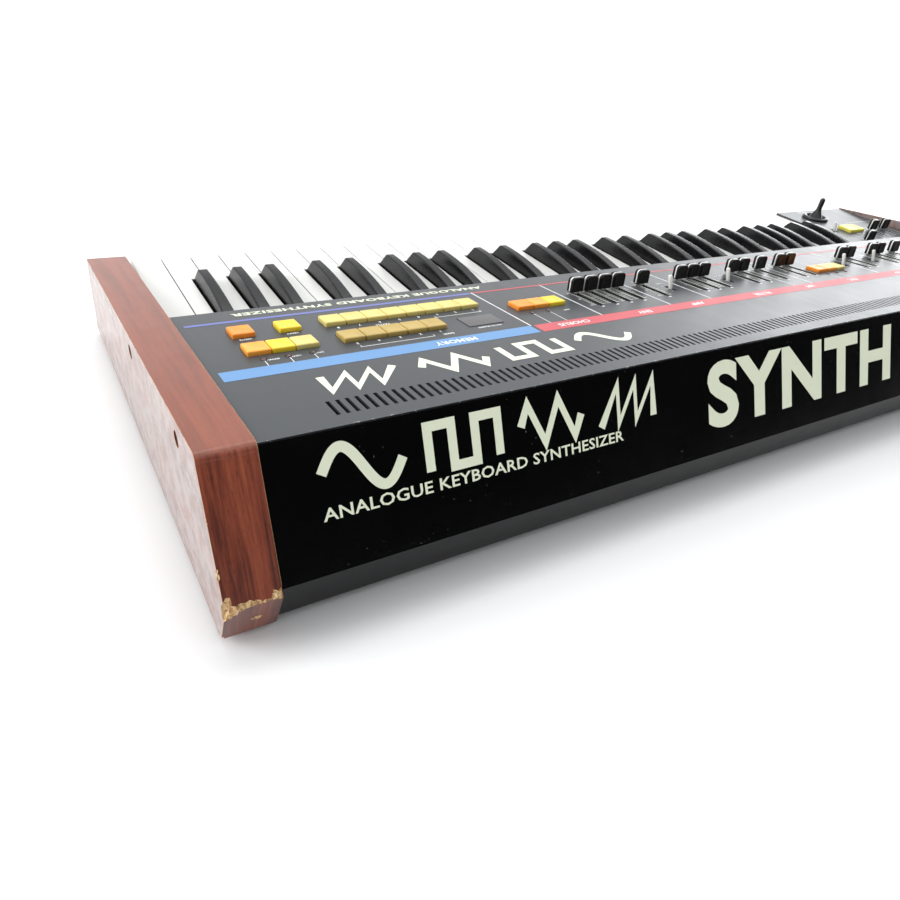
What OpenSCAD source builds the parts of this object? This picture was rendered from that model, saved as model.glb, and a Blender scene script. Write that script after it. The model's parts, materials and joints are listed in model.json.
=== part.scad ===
// Five-octave polyphonic synthesizer: wooden end cheeks, sloping control panel, leaning rear panel,
// sixty-one sprung keys, sliders, buttons, lever switches and a pitch bender.
// +X is the player's right, +Y points to the rear, +Z is up. The origin is on the surface that the
// instrument stands on, under the middle of its outline.

/* [Body] */
// Overall width over the two cheeks
body_w = 1060; // [1059:0.5:1062]
// Overall depth, front to rear
body_d = 378; // [377:0.5:380]
// Thickness of a wooden cheek
cheek_t = 29; // [28:0.25:29]
// Height of the cheeks' lower edge above the table, filled by the feet
cheek_z = 5; // [4:0.5:6]
// Height of a cheek's top at its front end
cheek_front_z = 69.5; // [69:0.25:70]
// Slope of the cheeks' top and of the control panel, in degrees
panel_slope = 6.36; // [6.2:0.02:6.5]
// Lean of the rear panel from the vertical, in degrees
rear_lean = 26.9; // [26:0.1:28]
// Radius of the rubbed corner between a cheek's top and rear edges
cheek_corner_r = 5; // [3:0.5:6]
// Thickness of the steel sheet parts
sheet_t = 1.6; // [1.2:0.1:1.6]

/* [Control panel] */
// Front edge of the control panel, along Y
panel_front_y = -29.6; // [-30:0.1:-29]
// Rear edge of the control panel, along Y
panel_rear_y = 152.8; // [152:0.1:153]
// Height of the control panel's front edge
panel_front_z = 84.4; // [84:0.1:85]
// Pitch of neighbouring buttons and sliders
control_pitch = 15.4; // [15.3:0.05:15.5]
// Slider travel on the control panel
slider_travel = 30; // [26:1:30]
// Where the slider caps rest, at the front end of their slots, along Y
slider_front_y = 18; // [17:0.5:18.5]
// Width of a ventilation slot
vent_w = 2.4; // [1.8:0.1:2.8]
// Spacing of the ventilation slots
vent_pitch = 5.6; // [5.4:0.1:5.8]
// Number of ventilation slots
vent_count = 163; // [120:1:163]

/* [Keyboard] */
// Width taken by one white key
key_pitch = 23.5; // [23.4:0.01:23.5]
// Height of the white key tops
white_top_z = 66.5; // [65:0.5:66.5]
// Height of a black key above the white ones
black_rise = 12; // [11:0.5:12]
// Front edge of the white keys, along Y
white_front_y = -179; // [-180:0.5:-178]
// Front edge of a black key at the level of the white tops, along Y
black_front_y = -129; // [-131:0.5:-127]
// Width of a black key's base
black_w = 10.8; // [10:0.2:11.6]
// Gap between neighbouring white keys
key_gap = 0.7; // [0.6:0.1:1]

/* [Bender] */
// Position of the bender lever's ball, along X
lever_x = -395; // [-400:1:-390]
// Position of the bender lever's ball, along Y
lever_y = -148; // [-150:1:-146]
// Height of the bender lever's tip
lever_top_z = 97; // [92:1:99]

/* [Hidden] */

eps = 0.01;
half_w = body_w / 2;
half_d = body_d / 2;
inner_x = half_w - cheek_t;
side_gap = 0.3;
span_x = inner_x - side_gap;

// Rear edge: the panel leans from its top edge down to its lower edge, and the chassis turns in below.
rear_low_y = half_d - 1.4;
rear_low_z = 40.8;
rear_top_z = 105.2;
rear_len = (rear_top_z - rear_low_z) / cos(rear_lean);
rear_top_y = rear_low_y - rear_len * sin(rear_lean);
floor_z = 9;
cheek_rear_z = 37;
cheek_chamfer_y = 177;
cheek_front_y = -179.5;

// Control groups on the sloping panel: [left end, front edge, number of buttons].
button_d = 14.8;
button_rise = 3.2;
button_travel = 1.5;
patch_group = [[288.1, 7.4, 8]];
bank_group = [[334.3, 38, 5]];
memory_group = [[427.6, 37.6, 3], [458.4, 7.4, 1], [427.6, 7.4, 1]];
chorus_group = [[217.6, 24.6, 3]];
voice_group = [[-149, 33, 3], [-372, 38, 1], [-407, 38, 1], [-442, 38, 1]];
all_groups = concat(patch_group, bank_group, memory_group, chorus_group, voice_group);

// Slider positions along X, from the envelope section leftwards to the arpeggio rate.
env_x = 190;
filter_x = 66;
osc_x = -78;
sweep_x = -186;
lfo_x = -245;
slider_x = [env_x, env_x - control_pitch, env_x - 2 * control_pitch, env_x - 3 * control_pitch,
    114.6, filter_x, filter_x - control_pitch, filter_x - 2 * control_pitch, -6,
    -6 - control_pitch, -47.5, osc_x, osc_x - control_pitch, sweep_x, sweep_x - control_pitch,
    lfo_x, lfo_x - control_pitch, -291];
slot_w = 2.8;
stem_w = 1.6;
stem_d = 6;
slot_end = 1;
cap_w = 12.4;
cap_d = 7;
cap_corner_r = 3;
cap_gap = 1.5;
cap_h = 12;
switch_x = [95.5, 19, -166, -222, -314, -336];
switch_y = 36;
switch_lean = 16;
switch_pivot_drop = 2;
switch_slot = [4.6, 12];
lamp_spots = [[466, 59.5], [450.6, 59.5], [435.2, 59.5], [256, 46.5], [240.6, 46.5],
    [-110.5, 53], [-125.9, 53], [-141.3, 53], [-364.5, 59.5], [-399.5, 59.5], [-434.5, 59.5]];
lamp_r = 1.5;
display_box = [[288.4, 38], [29.6, 18]];

// Left-hand block with the bender: slider slots as [centre along X, rest position along Y].
plate_z = 68.6;
plate_front_y = -178;
plate_rear_y = -30.4;
left_sliders = [[-386, -60], [-447, -93], [-475, -93]];
left_travel = 22;
trigger_box = [[-424, -110], [32, 20]];
bender_switch_x = -373;
bender_switch_y = -101;
ball_r = 12;
ball_z = 63;

// Keyboard: sixty-one keys from C to C, thirty-six of them white.
white_count = 36;
keys_right_x = inner_x - 2.9;
keys_left_x = keys_right_x - white_count * key_pitch;
white_depth = 14;
skirt_depth = 20;
skirt_t = 3;
tail_y = 22;
tail_drop = 2;
notch_clear = 1.4;
black_bevel_y = 8.5;
black_top_w = 7.6;
black_crest_y = -106;
black_run = 51;
black_fall = 5.2;
key_pivot_y = 20;
key_pivot_z = 56;
white_of_pitch = [0, 0, 1, 1, 2, 3, 3, 4, 4, 5, 5, 6];
black_after = [true, true, false, true, true, true, false];
black_shift = [-3.7, 3.2, 0, -3.1, 0, 3.6, 0];

// Inside parts.
frame_z = 24;
frame_t = 1.5;
board_t = 1.6;
board_drop = 12;

// Rear sockets from the player's right to left, and how far down the rear panel they sit.
socket_x = [-110, -150, -190, -230, -290, -330];
socket_down = 34;
socket_r = 3.2;
bush_r = 4.7;
gland_x = -455;
gland_r = 3.8;
power_x = -405;

screw_spots = [[-2.7, 77.5], [117.8, 91]];
foot_spots = [-116, 45];

// Height of the control panel's surface at a place along Y.
function panel_z(y) = panel_front_z + (y - panel_front_y) * tan(panel_slope);
// Distance up the slope from the panel's front edge to a place along Y.
function up_slope(y) = (y - panel_front_y) / cos(panel_slope);
// Points of a round corner of radius r about a centre, between two angles.
function arc(centre, r, from, to, n = 6) =
    [for (i = [0:n]) let (a = from + (to - from) * i / n) centre + r * [cos(a), sin(a)]];

// Places children on the control panel with Y up the slope and Z square to its surface.
module on_panel(x, y) {
    translate([x, y, panel_z(y)]) rotate([panel_slope, 0, 0]) children();
}

// Places children on the rear panel with Y down its face and Z pointing out of it.
module on_rear(x, down) {
    translate([x, rear_top_y + down * sin(rear_lean), rear_top_z - down * cos(rear_lean)])
        rotate([rear_lean - 90, 0, 0]) children();
}

// Extrudes an outline given in the Y-Z plane along X.
module along_x(from, to) {
    translate([from, 0, 0]) rotate([90, 0, 90]) linear_extrude(to - from) children();
}

// A box from its low corner to its high corner.
module block(low, high) {
    translate(low) cube(high - low);
}

// ---- Casing ----

module cheek_outline() {
    top_y = rear_top_y + 0.3;
    top_z = cheek_front_z + (top_y - cheek_front_y) * tan(panel_slope);
    centre = [top_y - cheek_corner_r * tan((90 - rear_lean + panel_slope) / 2) , top_z - cheek_corner_r];
    polygon(concat(
        [[cheek_front_y, cheek_front_z], [-half_d, cheek_z], [cheek_chamfer_y, cheek_z],
            [half_d, cheek_rear_z]],
        arc(centre, cheek_corner_r, 90 - rear_lean - 63.1, 90 + panel_slope)));
}

// Wooden end cheek with two counterbored screw holes.
module cheek(side) {
    outer = side * half_w;
    color([0.46, 0.22, 0.15]) difference() {
        along_x(min(side * inner_x, outer), max(side * inner_x, outer)) cheek_outline();
        for (spot = screw_spots) translate([outer, spot[0], spot[1]]) rotate([0, -90 * side, 0]) {
            translate([0, 0, -1]) cylinder(r = 4.6, h = 4.5, $fn = 32);
            translate([0, 0, -1]) cylinder(r = 2.4, h = cheek_t + 2, $fn = 24);
        }
    }
}

module right_cheek() cheek(1);
module left_cheek() cheek(-1);

// Sheet with the openings for every control, in the panel's own plane.
module panel_openings() {
    for (group = all_groups) translate([group[0] - 0.3, up_slope(group[1]) - 0.3])
        square([group[2] * control_pitch + 0.2, button_d + 0.6]);
    for (x = slider_x) translate([x - slot_w / 2, up_slope(slider_front_y) - stem_d / 2 - slot_end])
        square([slot_w, slider_travel + stem_d + 2 * slot_end]);
    for (x = switch_x) translate([x - switch_slot[0] / 2, up_slope(switch_y) - switch_slot[1] / 2])
        square(switch_slot);
    for (spot = lamp_spots) translate([spot[0], up_slope(spot[1])]) circle(r = lamp_r + 0.2, $fn = 20);
    translate([display_box[0][0] - 0.1, up_slope(display_box[0][1]) - 0.1])
        square(display_box[1] + [0.2, 0.2]);
    for (i = [0:vent_count - 1])
        translate([(i - (vent_count - 1) / 2) * vent_pitch - vent_w / 2, up_slope(125)])
            square([vent_w, 16.5]);
}

module top_panel() {
    length = up_slope(panel_rear_y);
    color([0.22, 0.23, 0.24]) on_panel(0, panel_front_y) union() {
        translate([0, 0, -sheet_t]) linear_extrude(sheet_t) difference() {
            translate([-span_x, 0]) square([2 * span_x, length]);
            panel_openings();
        }
        block([-span_x, 0, -sheet_t - 4], [span_x, sheet_t, -sheet_t + eps]);
    }
}

module rear_panel() {
    color([0.03, 0.03, 0.03]) on_rear(0, 0) difference() {
        translate([-span_x, 0, -sheet_t]) cube([2 * span_x, rear_len, sheet_t]);
        for (x = socket_x) translate([x, socket_down, -5]) cylinder(r = bush_r + 0.3, h = 10, $fn = 32);
        translate([gland_x, socket_down, -5]) cylinder(r = 7.3, h = 10, $fn = 32);
        translate([power_x - 10.3, socket_down - 7.3, -5]) cube([20.6, 14.6, 10]);
    }
}

// Tray whose rear edge turns up and leans out to meet the rear panel, with an end plate at each side.
module bottom_chassis() {
    t = 1.5;
    lip_y = rear_low_y - 0.6;
    lip_z = rear_low_z - 1.6;
    color([0.16, 0.16, 0.17]) difference() {
        union() {
            along_x(-span_x, span_x) polygon([[-181.5, floor_z], [176.5, floor_z], [lip_y, lip_z],
                [lip_y - t, lip_z + 0.4], [176.5 - t, floor_z + t], [-181.5 + t, floor_z + t],
                [-181.5 + t, 30], [-181.5, 30]]);
            for (side = [-1, 1])
                along_x(side > 0 ? span_x - t : -span_x, side > 0 ? span_x : -span_x + t)
                    polygon([[-27, 70], [25, 70], [25, floor_z + eps], [172, floor_z + eps],
                        [180, 40], [150, 98], [150, 101], [-27, 82.2]]);
        }
        for (spot = screw_spots) translate([-half_w, spot[0], spot[1]]) rotate([0, 90, 0])
            cylinder(r = 2.4, h = body_w, $fn = 24);
    }
}

// Narrow strip that closes the front below the key fronts.
module front_rail() {
    color([0.10, 0.10, 0.10]) along_x(-span_x, span_x)
        polygon([[-186, 10], [-184.4, 10], [-184.4, 42.4], [-181.9, 42.4], [-181.9, 44], [-186, 44]]);
}

// Flat plate to the left of the keys, with its front lip, its key-side wall and its rear upstand.
module bender_panel() {
    right_x = keys_left_x - 0.8;
    color([0.24, 0.25, 0.26]) difference() {
        union() {
            block([-span_x, plate_front_y, plate_z - sheet_t], [right_x, plate_rear_y, plate_z]);
            block([-span_x, plate_front_y, 44.6], [right_x, plate_front_y + sheet_t, plate_z - eps]);
            block([right_x - sheet_t, plate_front_y, 44.6], [right_x, plate_rear_y, plate_z - eps]);
            block([-span_x, plate_rear_y - sheet_t, plate_z - eps], [right_x, plate_rear_y, 79.5]);
        }
        block([lever_x - 13, lever_y - 13, plate_z - 5], [lever_x + 13, lever_y + 13, plate_z + 5]);
        for (spot = left_sliders) translate([spot[0] - slot_w / 2, spot[1] - stem_d / 2 - slot_end, 60])
            cube([slot_w, left_travel + stem_d + 2 * slot_end, 12]);
        translate([trigger_box[0][0] - 0.4, trigger_box[0][1] - 0.4, 60])
            cube([trigger_box[1][0] + 0.8, trigger_box[1][1] + 0.8, 12]);
        translate([bender_switch_x - 2.3, bender_switch_y - 6, 60]) cube([4.6, 12, 12]);
    }
}

// Dark lens over the patch number display.
module display_window() {
    color([0.10, 0.02, 0.03]) on_panel(display_box[0][0], display_box[0][1])
        translate([0, 0, -2.4]) cube([display_box[1][0], display_box[1][1], 2.8]);
}

module led_lamps() {
    color([0.35, 0.04, 0.04]) for (spot = lamp_spots) on_panel(spot[0], spot[1])
        translate([0, 0, -5]) union() {
            cylinder(r = lamp_r, h = 5.3, $fn = 20);
            translate([0, 0, 5.2]) cylinder(r1 = lamp_r, r2 = 0.7, h = 0.7, $fn = 20);
        }
}

module feet() {
    color([0.07, 0.07, 0.07]) for (side = [-1, 1], y = foot_spots)
        translate([side * (half_w - 12), y, 0]) union() {
            cylinder(r1 = 8.5, r2 = 9.5, h = 1, $fn = 32);
            translate([0, 0, 1]) cylinder(r = 9.5, h = cheek_z - 1, $fn = 32);
        }
}

module cheek_screws() {
    color([0.12, 0.10, 0.09]) for (side = [-1, 1], spot = screw_spots)
        translate([side * half_w, spot[0], spot[1]]) rotate([0, -90 * side, 0]) difference() {
            union() {
                translate([0, 0, 0.8]) cylinder(r = 4.3, h = 2.7, $fn = 32);
                translate([0, 0, 3.4]) cylinder(r = 2.1, h = cheek_t, $fn = 24);
            }
            for (a = [0, 90]) rotate([0, 0, a]) translate([-2.6, -0.5, 0]) cube([5.2, 1, 2.2]);
        }
}

// ---- Keyboard ----

// Left edge of white key number w, counted from the lowest C.
function white_left(w) = keys_left_x + w * key_pitch;
// Height of a black key's top, which falls away from its crest in a gentle arc.
function black_top(y) = white_top_z + black_rise - black_fall * pow((y - black_crest_y) / black_run, 2);
// Centre of the black key that follows white key w.
function black_x(w) = white_left(w + 1) + black_shift[w % 7];

module white_key(w) {
    half_notch = black_w / 2 + notch_clear;
    left = white_left(w) + key_gap / 2;
    right = white_left(w + 1) - key_gap / 2;
    tail_left = w > 0 && black_after[(w + 6) % 7] ? black_x(w - 1) + half_notch : left;
    tail_right = w < white_count - 1 && black_after[w % 7] ? black_x(w) - half_notch : right;
    notch_y = black_front_y - 1.5;
    union() {
        translate([0, 0, white_top_z - white_depth]) linear_extrude(white_depth) polygon([
            [left, white_front_y], [right, white_front_y], [right, notch_y], [tail_right, notch_y],
            [tail_right, tail_y], [tail_left, tail_y], [tail_left, notch_y], [left, notch_y]]);
        block([left, white_front_y, white_top_z - skirt_depth],
            [right, white_front_y + skirt_t, white_top_z - eps]);
    }
}

module black_key(w) {
    low = white_top_z - white_depth;
    top = white_top_z + black_rise;
    start = black_front_y + black_bevel_y;
    end = panel_front_y - 3;
    steps = 8;
    translate([black_x(w), 0, 0]) intersection() {
        along_x(-black_w / 2, black_w / 2) polygon(concat(
            [[black_front_y, low], [black_front_y, white_top_z]],
            [for (i = [0:steps]) let (y = start + (end - start) * i / steps) [y, black_top(y)]],
            [[end, white_top_z - tail_drop], [tail_y, white_top_z - tail_drop], [tail_y, low]]));
        translate([0, tail_y + 1, 0]) rotate([90, 0, 0]) linear_extrude(tail_y - black_front_y + 2)
            polygon([[-black_w / 2, low - 1], [black_w / 2, low - 1], [black_w / 2, white_top_z],
                [black_top_w / 2, top + 0.1], [-black_top_w / 2, top + 0.1],
                [-black_w / 2, white_top_z]]);
    }
}

// Every white key of one note name. The lowest and the highest key are both C.
module white_keys(pitch) {
    color([0.95, 0.95, 0.93]) for (w = [white_of_pitch[pitch]:7:white_count - 1]) white_key(w);
}

// Every black key of one note name.
module black_keys(pitch) {
    color([0.05, 0.05, 0.05]) for (w = [white_of_pitch[pitch]:7:white_count - 2]) black_key(w);
}

module c_keys() white_keys(0);
module c_sharp_keys() black_keys(1);
module d_keys() white_keys(2);
module d_sharp_keys() black_keys(3);
module e_keys() white_keys(4);
module f_keys() white_keys(5);
module f_sharp_keys() black_keys(6);
module g_keys() white_keys(7);
module g_sharp_keys() black_keys(8);
module a_keys() white_keys(9);
module a_sharp_keys() black_keys(10);
module b_keys() white_keys(11);

// Folded steel frame that carries the keys: base, rear pivot wall, front stop and board supports.
module keybed_frame() {
    left = keys_left_x + 1;
    right = keys_right_x - 1;
    top = frame_z + frame_t;
    color([0.55, 0.56, 0.57]) union() {
        block([left, -160, frame_z], [right, 24, top]);
        block([left, 19, top - eps], [right, 21, white_top_z - white_depth - 0.4]);
        block([left, -151, top - eps], [right, -149, 40.5]);
        for (y = [-58, -24]) block([left, y, top - eps], [right, y + 2, 42]);
        for (i = [0:5]) translate([left + 20 + i * (right - left - 44) / 5, -150, floor_z + 1.5])
            cube([4, 160, frame_z - floor_z - 1.5 + eps]);
    }
}

module contact_board() {
    color([0.20, 0.36, 0.22]) union() {
        block([keys_left_x + 2, -60, 42], [keys_right_x - 2, -20, 42 + board_t]);
        for (w = [0:white_count - 1])
            block([white_left(w) + 4, -46, 42 + board_t - eps], [white_left(w + 1) - 4, -34, 46.5]);
    }
}

// ---- Controls ----

// Push buttons side by side, each with a stem that reaches the switch on the board below.
module buttons(groups) {
    for (group = groups, i = [0:group[2] - 1])
        on_panel(group[0] + i * control_pitch, group[1]) translate([0.1, 0, 0]) union() {
            translate([0, 0, -1.4]) cube([control_pitch - 0.6, button_d, 1.4 + button_rise]);
            translate([4.9, 4.9, -7.5]) cube([5, 5, 6.2]);
        }
}

module patch_buttons() color([0.90, 0.84, 0.52]) buttons(patch_group);
module bank_buttons() color([0.76, 0.64, 0.36]) buttons(bank_group);
module memory_buttons() color([0.98, 0.60, 0.15]) buttons(memory_group);
module chorus_buttons() color([0.98, 0.70, 0.15]) buttons(chorus_group);
module voice_buttons() color([0.98, 0.80, 0.15]) buttons(voice_group);

// Slider cap with its stem, upright on the panel, its top corners round.
module cap(width, height) {
    side = width / 2 - cap_corner_r;
    crown = cap_gap + height - cap_corner_r;
    union() {
        translate([0, cap_d / 2, 0]) rotate([90, 0, 0]) linear_extrude(cap_d) polygon(concat(
            [[-width / 2, cap_gap], [width / 2, cap_gap]],
            arc([side, crown], cap_corner_r, 0, 90), arc([-side, crown], cap_corner_r, 90, 180)));
        translate([-stem_w / 2, -stem_d / 2, -5]) cube([stem_w, stem_d, 5 + cap_gap + 1]);
    }
}

module panel_cap(i) {
    color([0.06, 0.06, 0.06]) on_panel(slider_x[i], slider_front_y) cap(cap_w, cap_h);
}

module attack_cap() panel_cap(3);
module decay_cap() panel_cap(2);
module sustain_cap() panel_cap(1);
module release_cap() panel_cap(0);
module level_cap() panel_cap(4);
module cutoff_cap() panel_cap(9);
module resonance_cap() panel_cap(8);
module filter_envelope_cap() panel_cap(7);
module filter_lfo_cap() panel_cap(6);
module key_follow_cap() panel_cap(5);
module high_pass_cap() panel_cap(10);
module vibrato_cap() panel_cap(14);
module pulse_width_cap() panel_cap(13);
module sub_level_cap() panel_cap(12);
module noise_level_cap() panel_cap(11);
module lfo_rate_cap() panel_cap(16);
module lfo_delay_cap() panel_cap(15);
module arpeggio_rate_cap() panel_cap(17);

module left_slider_caps() {
    color([0.06, 0.06, 0.06]) for (spot = left_sliders)
        translate([spot[0], spot[1], plate_z]) cap(13, 13);
}

// Housings of the slide controls under the panels, each with a groove that its stem runs in.
module slider_body(travel) {
    length = travel + stem_d + 12;
    translate([0, travel / 2, -10]) difference() {
        translate([-4.5, -length / 2, 0]) cube([9, length, 8]);
        translate([-1.5, -length / 2 + 5, 1.5]) cube([3, length - 10, 8]);
    }
}

module slider_bodies() {
    color([0.45, 0.46, 0.47]) union() {
        for (x = slider_x) on_panel(x, slider_front_y) slider_body(slider_travel);
        for (spot = left_sliders) translate([spot[0], spot[1], plate_z]) slider_body(left_travel);
    }
}

// Lever of a slide switch, leaning towards the front.
module switch_lever() {
    translate([0, 0, -switch_pivot_drop]) rotate([switch_lean, 0, 0])
        translate([-1.7, -1.4, -2]) cube([3.4, 2.8, 15.5]);
}

module panel_switches() {
    color([0.92, 0.92, 0.90]) for (x = switch_x) on_panel(x, switch_y) switch_lever();
}

module bender_switch() {
    color([0.92, 0.92, 0.90]) translate([bender_switch_x, bender_switch_y, plate_z]) switch_lever();
}

module trigger_button() {
    corner = [trigger_box[0][0], trigger_box[0][1], plate_z - 1.4];
    color([0.96, 0.90, 0.40]) union() {
        block(corner, corner + [trigger_box[1][0], trigger_box[1][1], 1.4 + 4]);
        block(corner + [13, 7, -6], corner + [19, 13, eps]);
    }
}

// Bender: a ball that turns in the plate, a flared neck and a round stick.
module bender_lever() {
    stick_r = 3.4;
    neck_z = ball_z + 8;
    color([0.05, 0.05, 0.05]) translate([lever_x, lever_y, 0]) union() {
        translate([0, 0, ball_z]) sphere(r = ball_r, $fn = 48);
        translate([0, 0, neck_z]) cylinder(r1 = 8.5, r2 = stick_r, h = 9, $fn = 32);
        translate([0, 0, ball_z]) cylinder(r = stick_r, h = lever_top_z - stick_r - ball_z, $fn = 32);
        translate([0, 0, lever_top_z - stick_r]) sphere(r = stick_r, $fn = 32);
    }
}

// ---- Inside and rear ----

// Board under the control panel, with the push switches that the buttons work.
module panel_board() {
    gap = 0.3;
    color([0.18, 0.34, 0.20]) on_panel(0, panel_front_y) union() {
        translate([-470, up_slope(-12), -board_drop - board_t]) cube([950, 88, board_t]);
        for (group = all_groups, i = [0:group[2] - 1])
            translate([group[0] + i * control_pitch + 4.5, up_slope(group[1]) + 4.4,
                -board_drop - eps]) cube([6, 6, board_drop - 7.5 - button_travel - gap]);
    }
}

module main_board() {
    top = 18;
    color([0.20, 0.38, 0.24]) union() {
        block([-300, 36, top - board_t], [300, 150, top]);
        for (x = [-270:60:270], y = [50, 84, 118]) block([x, y, top - eps], [x + 24, y + 9, top + 4]);
        for (x = [-290, 284], y = [40, 140]) block([x, y, floor_z + 1.5], [x + 6, y + 6, top - 1]);
    }
}

module transformer() {
    color([0.40, 0.38, 0.34]) union() {
        block([-440, 70, floor_z + 1.5], [-350, 130, floor_z + 3.5]);
        block([-425, 76, floor_z + 3.4], [-365, 124, 52]);
        block([-415, 68, 18], [-375, 132, 46]);
    }
}

// Phone sockets: threaded bush with its nut outside the panel and a closed body behind it.
module rear_sockets() {
    color([0.70, 0.70, 0.70]) for (x = socket_x) on_rear(x, socket_down) difference() {
        union() {
            translate([-7.5, -8, -24]) cube([15, 16, 24 - sheet_t]);
            translate([0, 0, -sheet_t - 1]) cylinder(r = bush_r, h = sheet_t + 3.6, $fn = 32);
            translate([0, 0, 0.05]) cylinder(r = 7, h = 1.8, $fn = 6);
        }
        translate([0, 0, -16]) cylinder(r = socket_r, h = 30, $fn = 32);
    }
}

// Strain relief bush where the mains lead would enter.
module cord_gland() {
    color([0.08, 0.08, 0.08]) on_rear(gland_x, socket_down) difference() {
        union() {
            translate([0, 0, -8]) cylinder(r = 7, h = 12, $fn = 32);
            translate([0, 0, 0.05]) cylinder(r = 9, h = 2.5, $fn = 32);
            translate([0, 0, -7]) cylinder(r = 8.5, h = 6.9 - sheet_t, $fn = 32);
        }
        translate([0, 0, -12]) cylinder(r = gland_r, h = 30, $fn = 32);
    }
}

module power_switch() {
    color([0.09, 0.09, 0.09]) on_rear(power_x, socket_down) union() {
        translate([-10, -7, -12]) cube([20, 14, 15.5]);
        translate([-4, -3, -20]) cube([8, 6, 9]);
    }
}

right_cheek();
left_cheek();
top_panel();
rear_panel();
bottom_chassis();
bender_panel();
keybed_frame();
front_rail();
contact_board();
panel_board();
main_board();
transformer();
slider_bodies();
rear_sockets();
cord_gland();
display_window();
led_lamps();
feet();
cheek_screws();
c_keys();
c_sharp_keys();
d_keys();
d_sharp_keys();
e_keys();
f_keys();
f_sharp_keys();
g_keys();
g_sharp_keys();
a_keys();
a_sharp_keys();
b_keys();
attack_cap();
decay_cap();
sustain_cap();
release_cap();
level_cap();
cutoff_cap();
resonance_cap();
filter_envelope_cap();
filter_lfo_cap();
key_follow_cap();
high_pass_cap();
vibrato_cap();
pulse_width_cap();
sub_level_cap();
noise_level_cap();
lfo_rate_cap();
lfo_delay_cap();
arpeggio_rate_cap();
left_slider_caps();
bender_lever();
patch_buttons();
bank_buttons();
memory_buttons();
chorus_buttons();
voice_buttons();
trigger_button();
panel_switches();
bender_switch();
power_switch();
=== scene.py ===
# %% [markdown]
# # A five-octave synthesizer
# The casing is a folded steel box between two veneered wooden cheeks. The control panel slopes up
# to the rear, the rear panel leans out, and sixty-one keys fill the front. The solid parts and
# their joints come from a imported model, which stays as it is. This lesson adds what a maker would
# see last: rounded edges, printed scales, moulded caps, veneer, enamel and plastic.

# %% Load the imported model
import json
import math

import bmesh
import bpy
import numpy as np
from mathutils import Matrix, Vector

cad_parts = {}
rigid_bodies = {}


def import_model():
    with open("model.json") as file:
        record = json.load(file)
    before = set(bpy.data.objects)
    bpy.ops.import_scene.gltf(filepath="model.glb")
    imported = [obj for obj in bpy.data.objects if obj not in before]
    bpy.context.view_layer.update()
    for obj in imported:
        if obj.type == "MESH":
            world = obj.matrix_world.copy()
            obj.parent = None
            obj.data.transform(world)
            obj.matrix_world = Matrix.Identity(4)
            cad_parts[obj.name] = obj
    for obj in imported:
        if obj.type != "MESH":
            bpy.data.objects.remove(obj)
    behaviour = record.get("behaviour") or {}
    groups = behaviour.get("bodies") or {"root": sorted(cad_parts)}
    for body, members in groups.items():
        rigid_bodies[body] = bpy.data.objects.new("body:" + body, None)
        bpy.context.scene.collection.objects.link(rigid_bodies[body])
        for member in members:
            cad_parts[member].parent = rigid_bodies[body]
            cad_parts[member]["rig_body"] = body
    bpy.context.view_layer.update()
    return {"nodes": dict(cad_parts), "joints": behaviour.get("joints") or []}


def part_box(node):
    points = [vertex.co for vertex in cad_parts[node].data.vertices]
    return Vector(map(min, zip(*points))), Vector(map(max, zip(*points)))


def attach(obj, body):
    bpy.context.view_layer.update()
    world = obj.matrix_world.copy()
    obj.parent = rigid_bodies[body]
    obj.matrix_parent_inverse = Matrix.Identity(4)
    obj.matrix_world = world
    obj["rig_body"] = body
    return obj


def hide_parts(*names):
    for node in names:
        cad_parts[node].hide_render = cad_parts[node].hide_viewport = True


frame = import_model()
nodes = frame["nodes"]

# %% [markdown]
# ## Where things sit
# Every control stands on a flat sheet that leans one way or another. It is easier to think of a
# button as so far across, so far up the slope and so far out of the sheet. A seat holds those
# three directions and an origin, works in millimetres, and turns such places into metres in the
# shared frame. The directions are read from the sliding and pressing joints, and the height of
# each sheet from the CAD node's own vertices.

# %% Seats on the control panel, the rear panel and the bender plate
MM = 0.001


def joint_axis(name):
    """Direction of a joint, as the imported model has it."""
    found = next(joint for joint in frame["joints"] if joint["name"] == name)
    return np.array(found["axis"], float)


def cad_points(node):
    """Vertices of a CAD node in millimetres, one row each."""
    mesh = nodes[node].data
    flat = np.empty(len(mesh.vertices) * 3, np.float32)
    mesh.vertices.foreach_get("co", flat)
    return flat.reshape(-1, 3).astype(float) / MM


class Seat:
    """A flat place to build on: an origin in millimetres and three square directions."""

    def __init__(self, origin, across, along):
        self.origin = np.asarray(origin, float)
        self.axes = np.array([across, along, np.cross(across, along)], float)

    def place(self, points):
        """Local millimetres to metres in the shared frame."""
        return (self.origin + np.asarray(points, float) @ self.axes) * MM

    def local(self, points):
        """Millimetres in the shared frame to local ones."""
        return (points - self.origin) @ self.axes.T

    def moved(self, x, y, z=0.0):
        """The same directions about another origin, given in local millimetres."""
        return Seat(self.origin + np.array([x, y, z]) @ self.axes, self.axes[0], self.axes[1])


def on_sheet(node, across, along, spot):
    """A seat on the outermost face of a sheet, with its origin at spot's place along Y or Z."""
    out = np.cross(across, along)
    height = (cad_points(node) @ out).max()
    free = 2 if abs(out[2]) > abs(out[1]) else 1
    origin = np.array(spot, float)
    origin[free] = (height - origin @ out + origin[free] * out[free]) / out[free]
    return Seat(origin, across, along)


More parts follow.
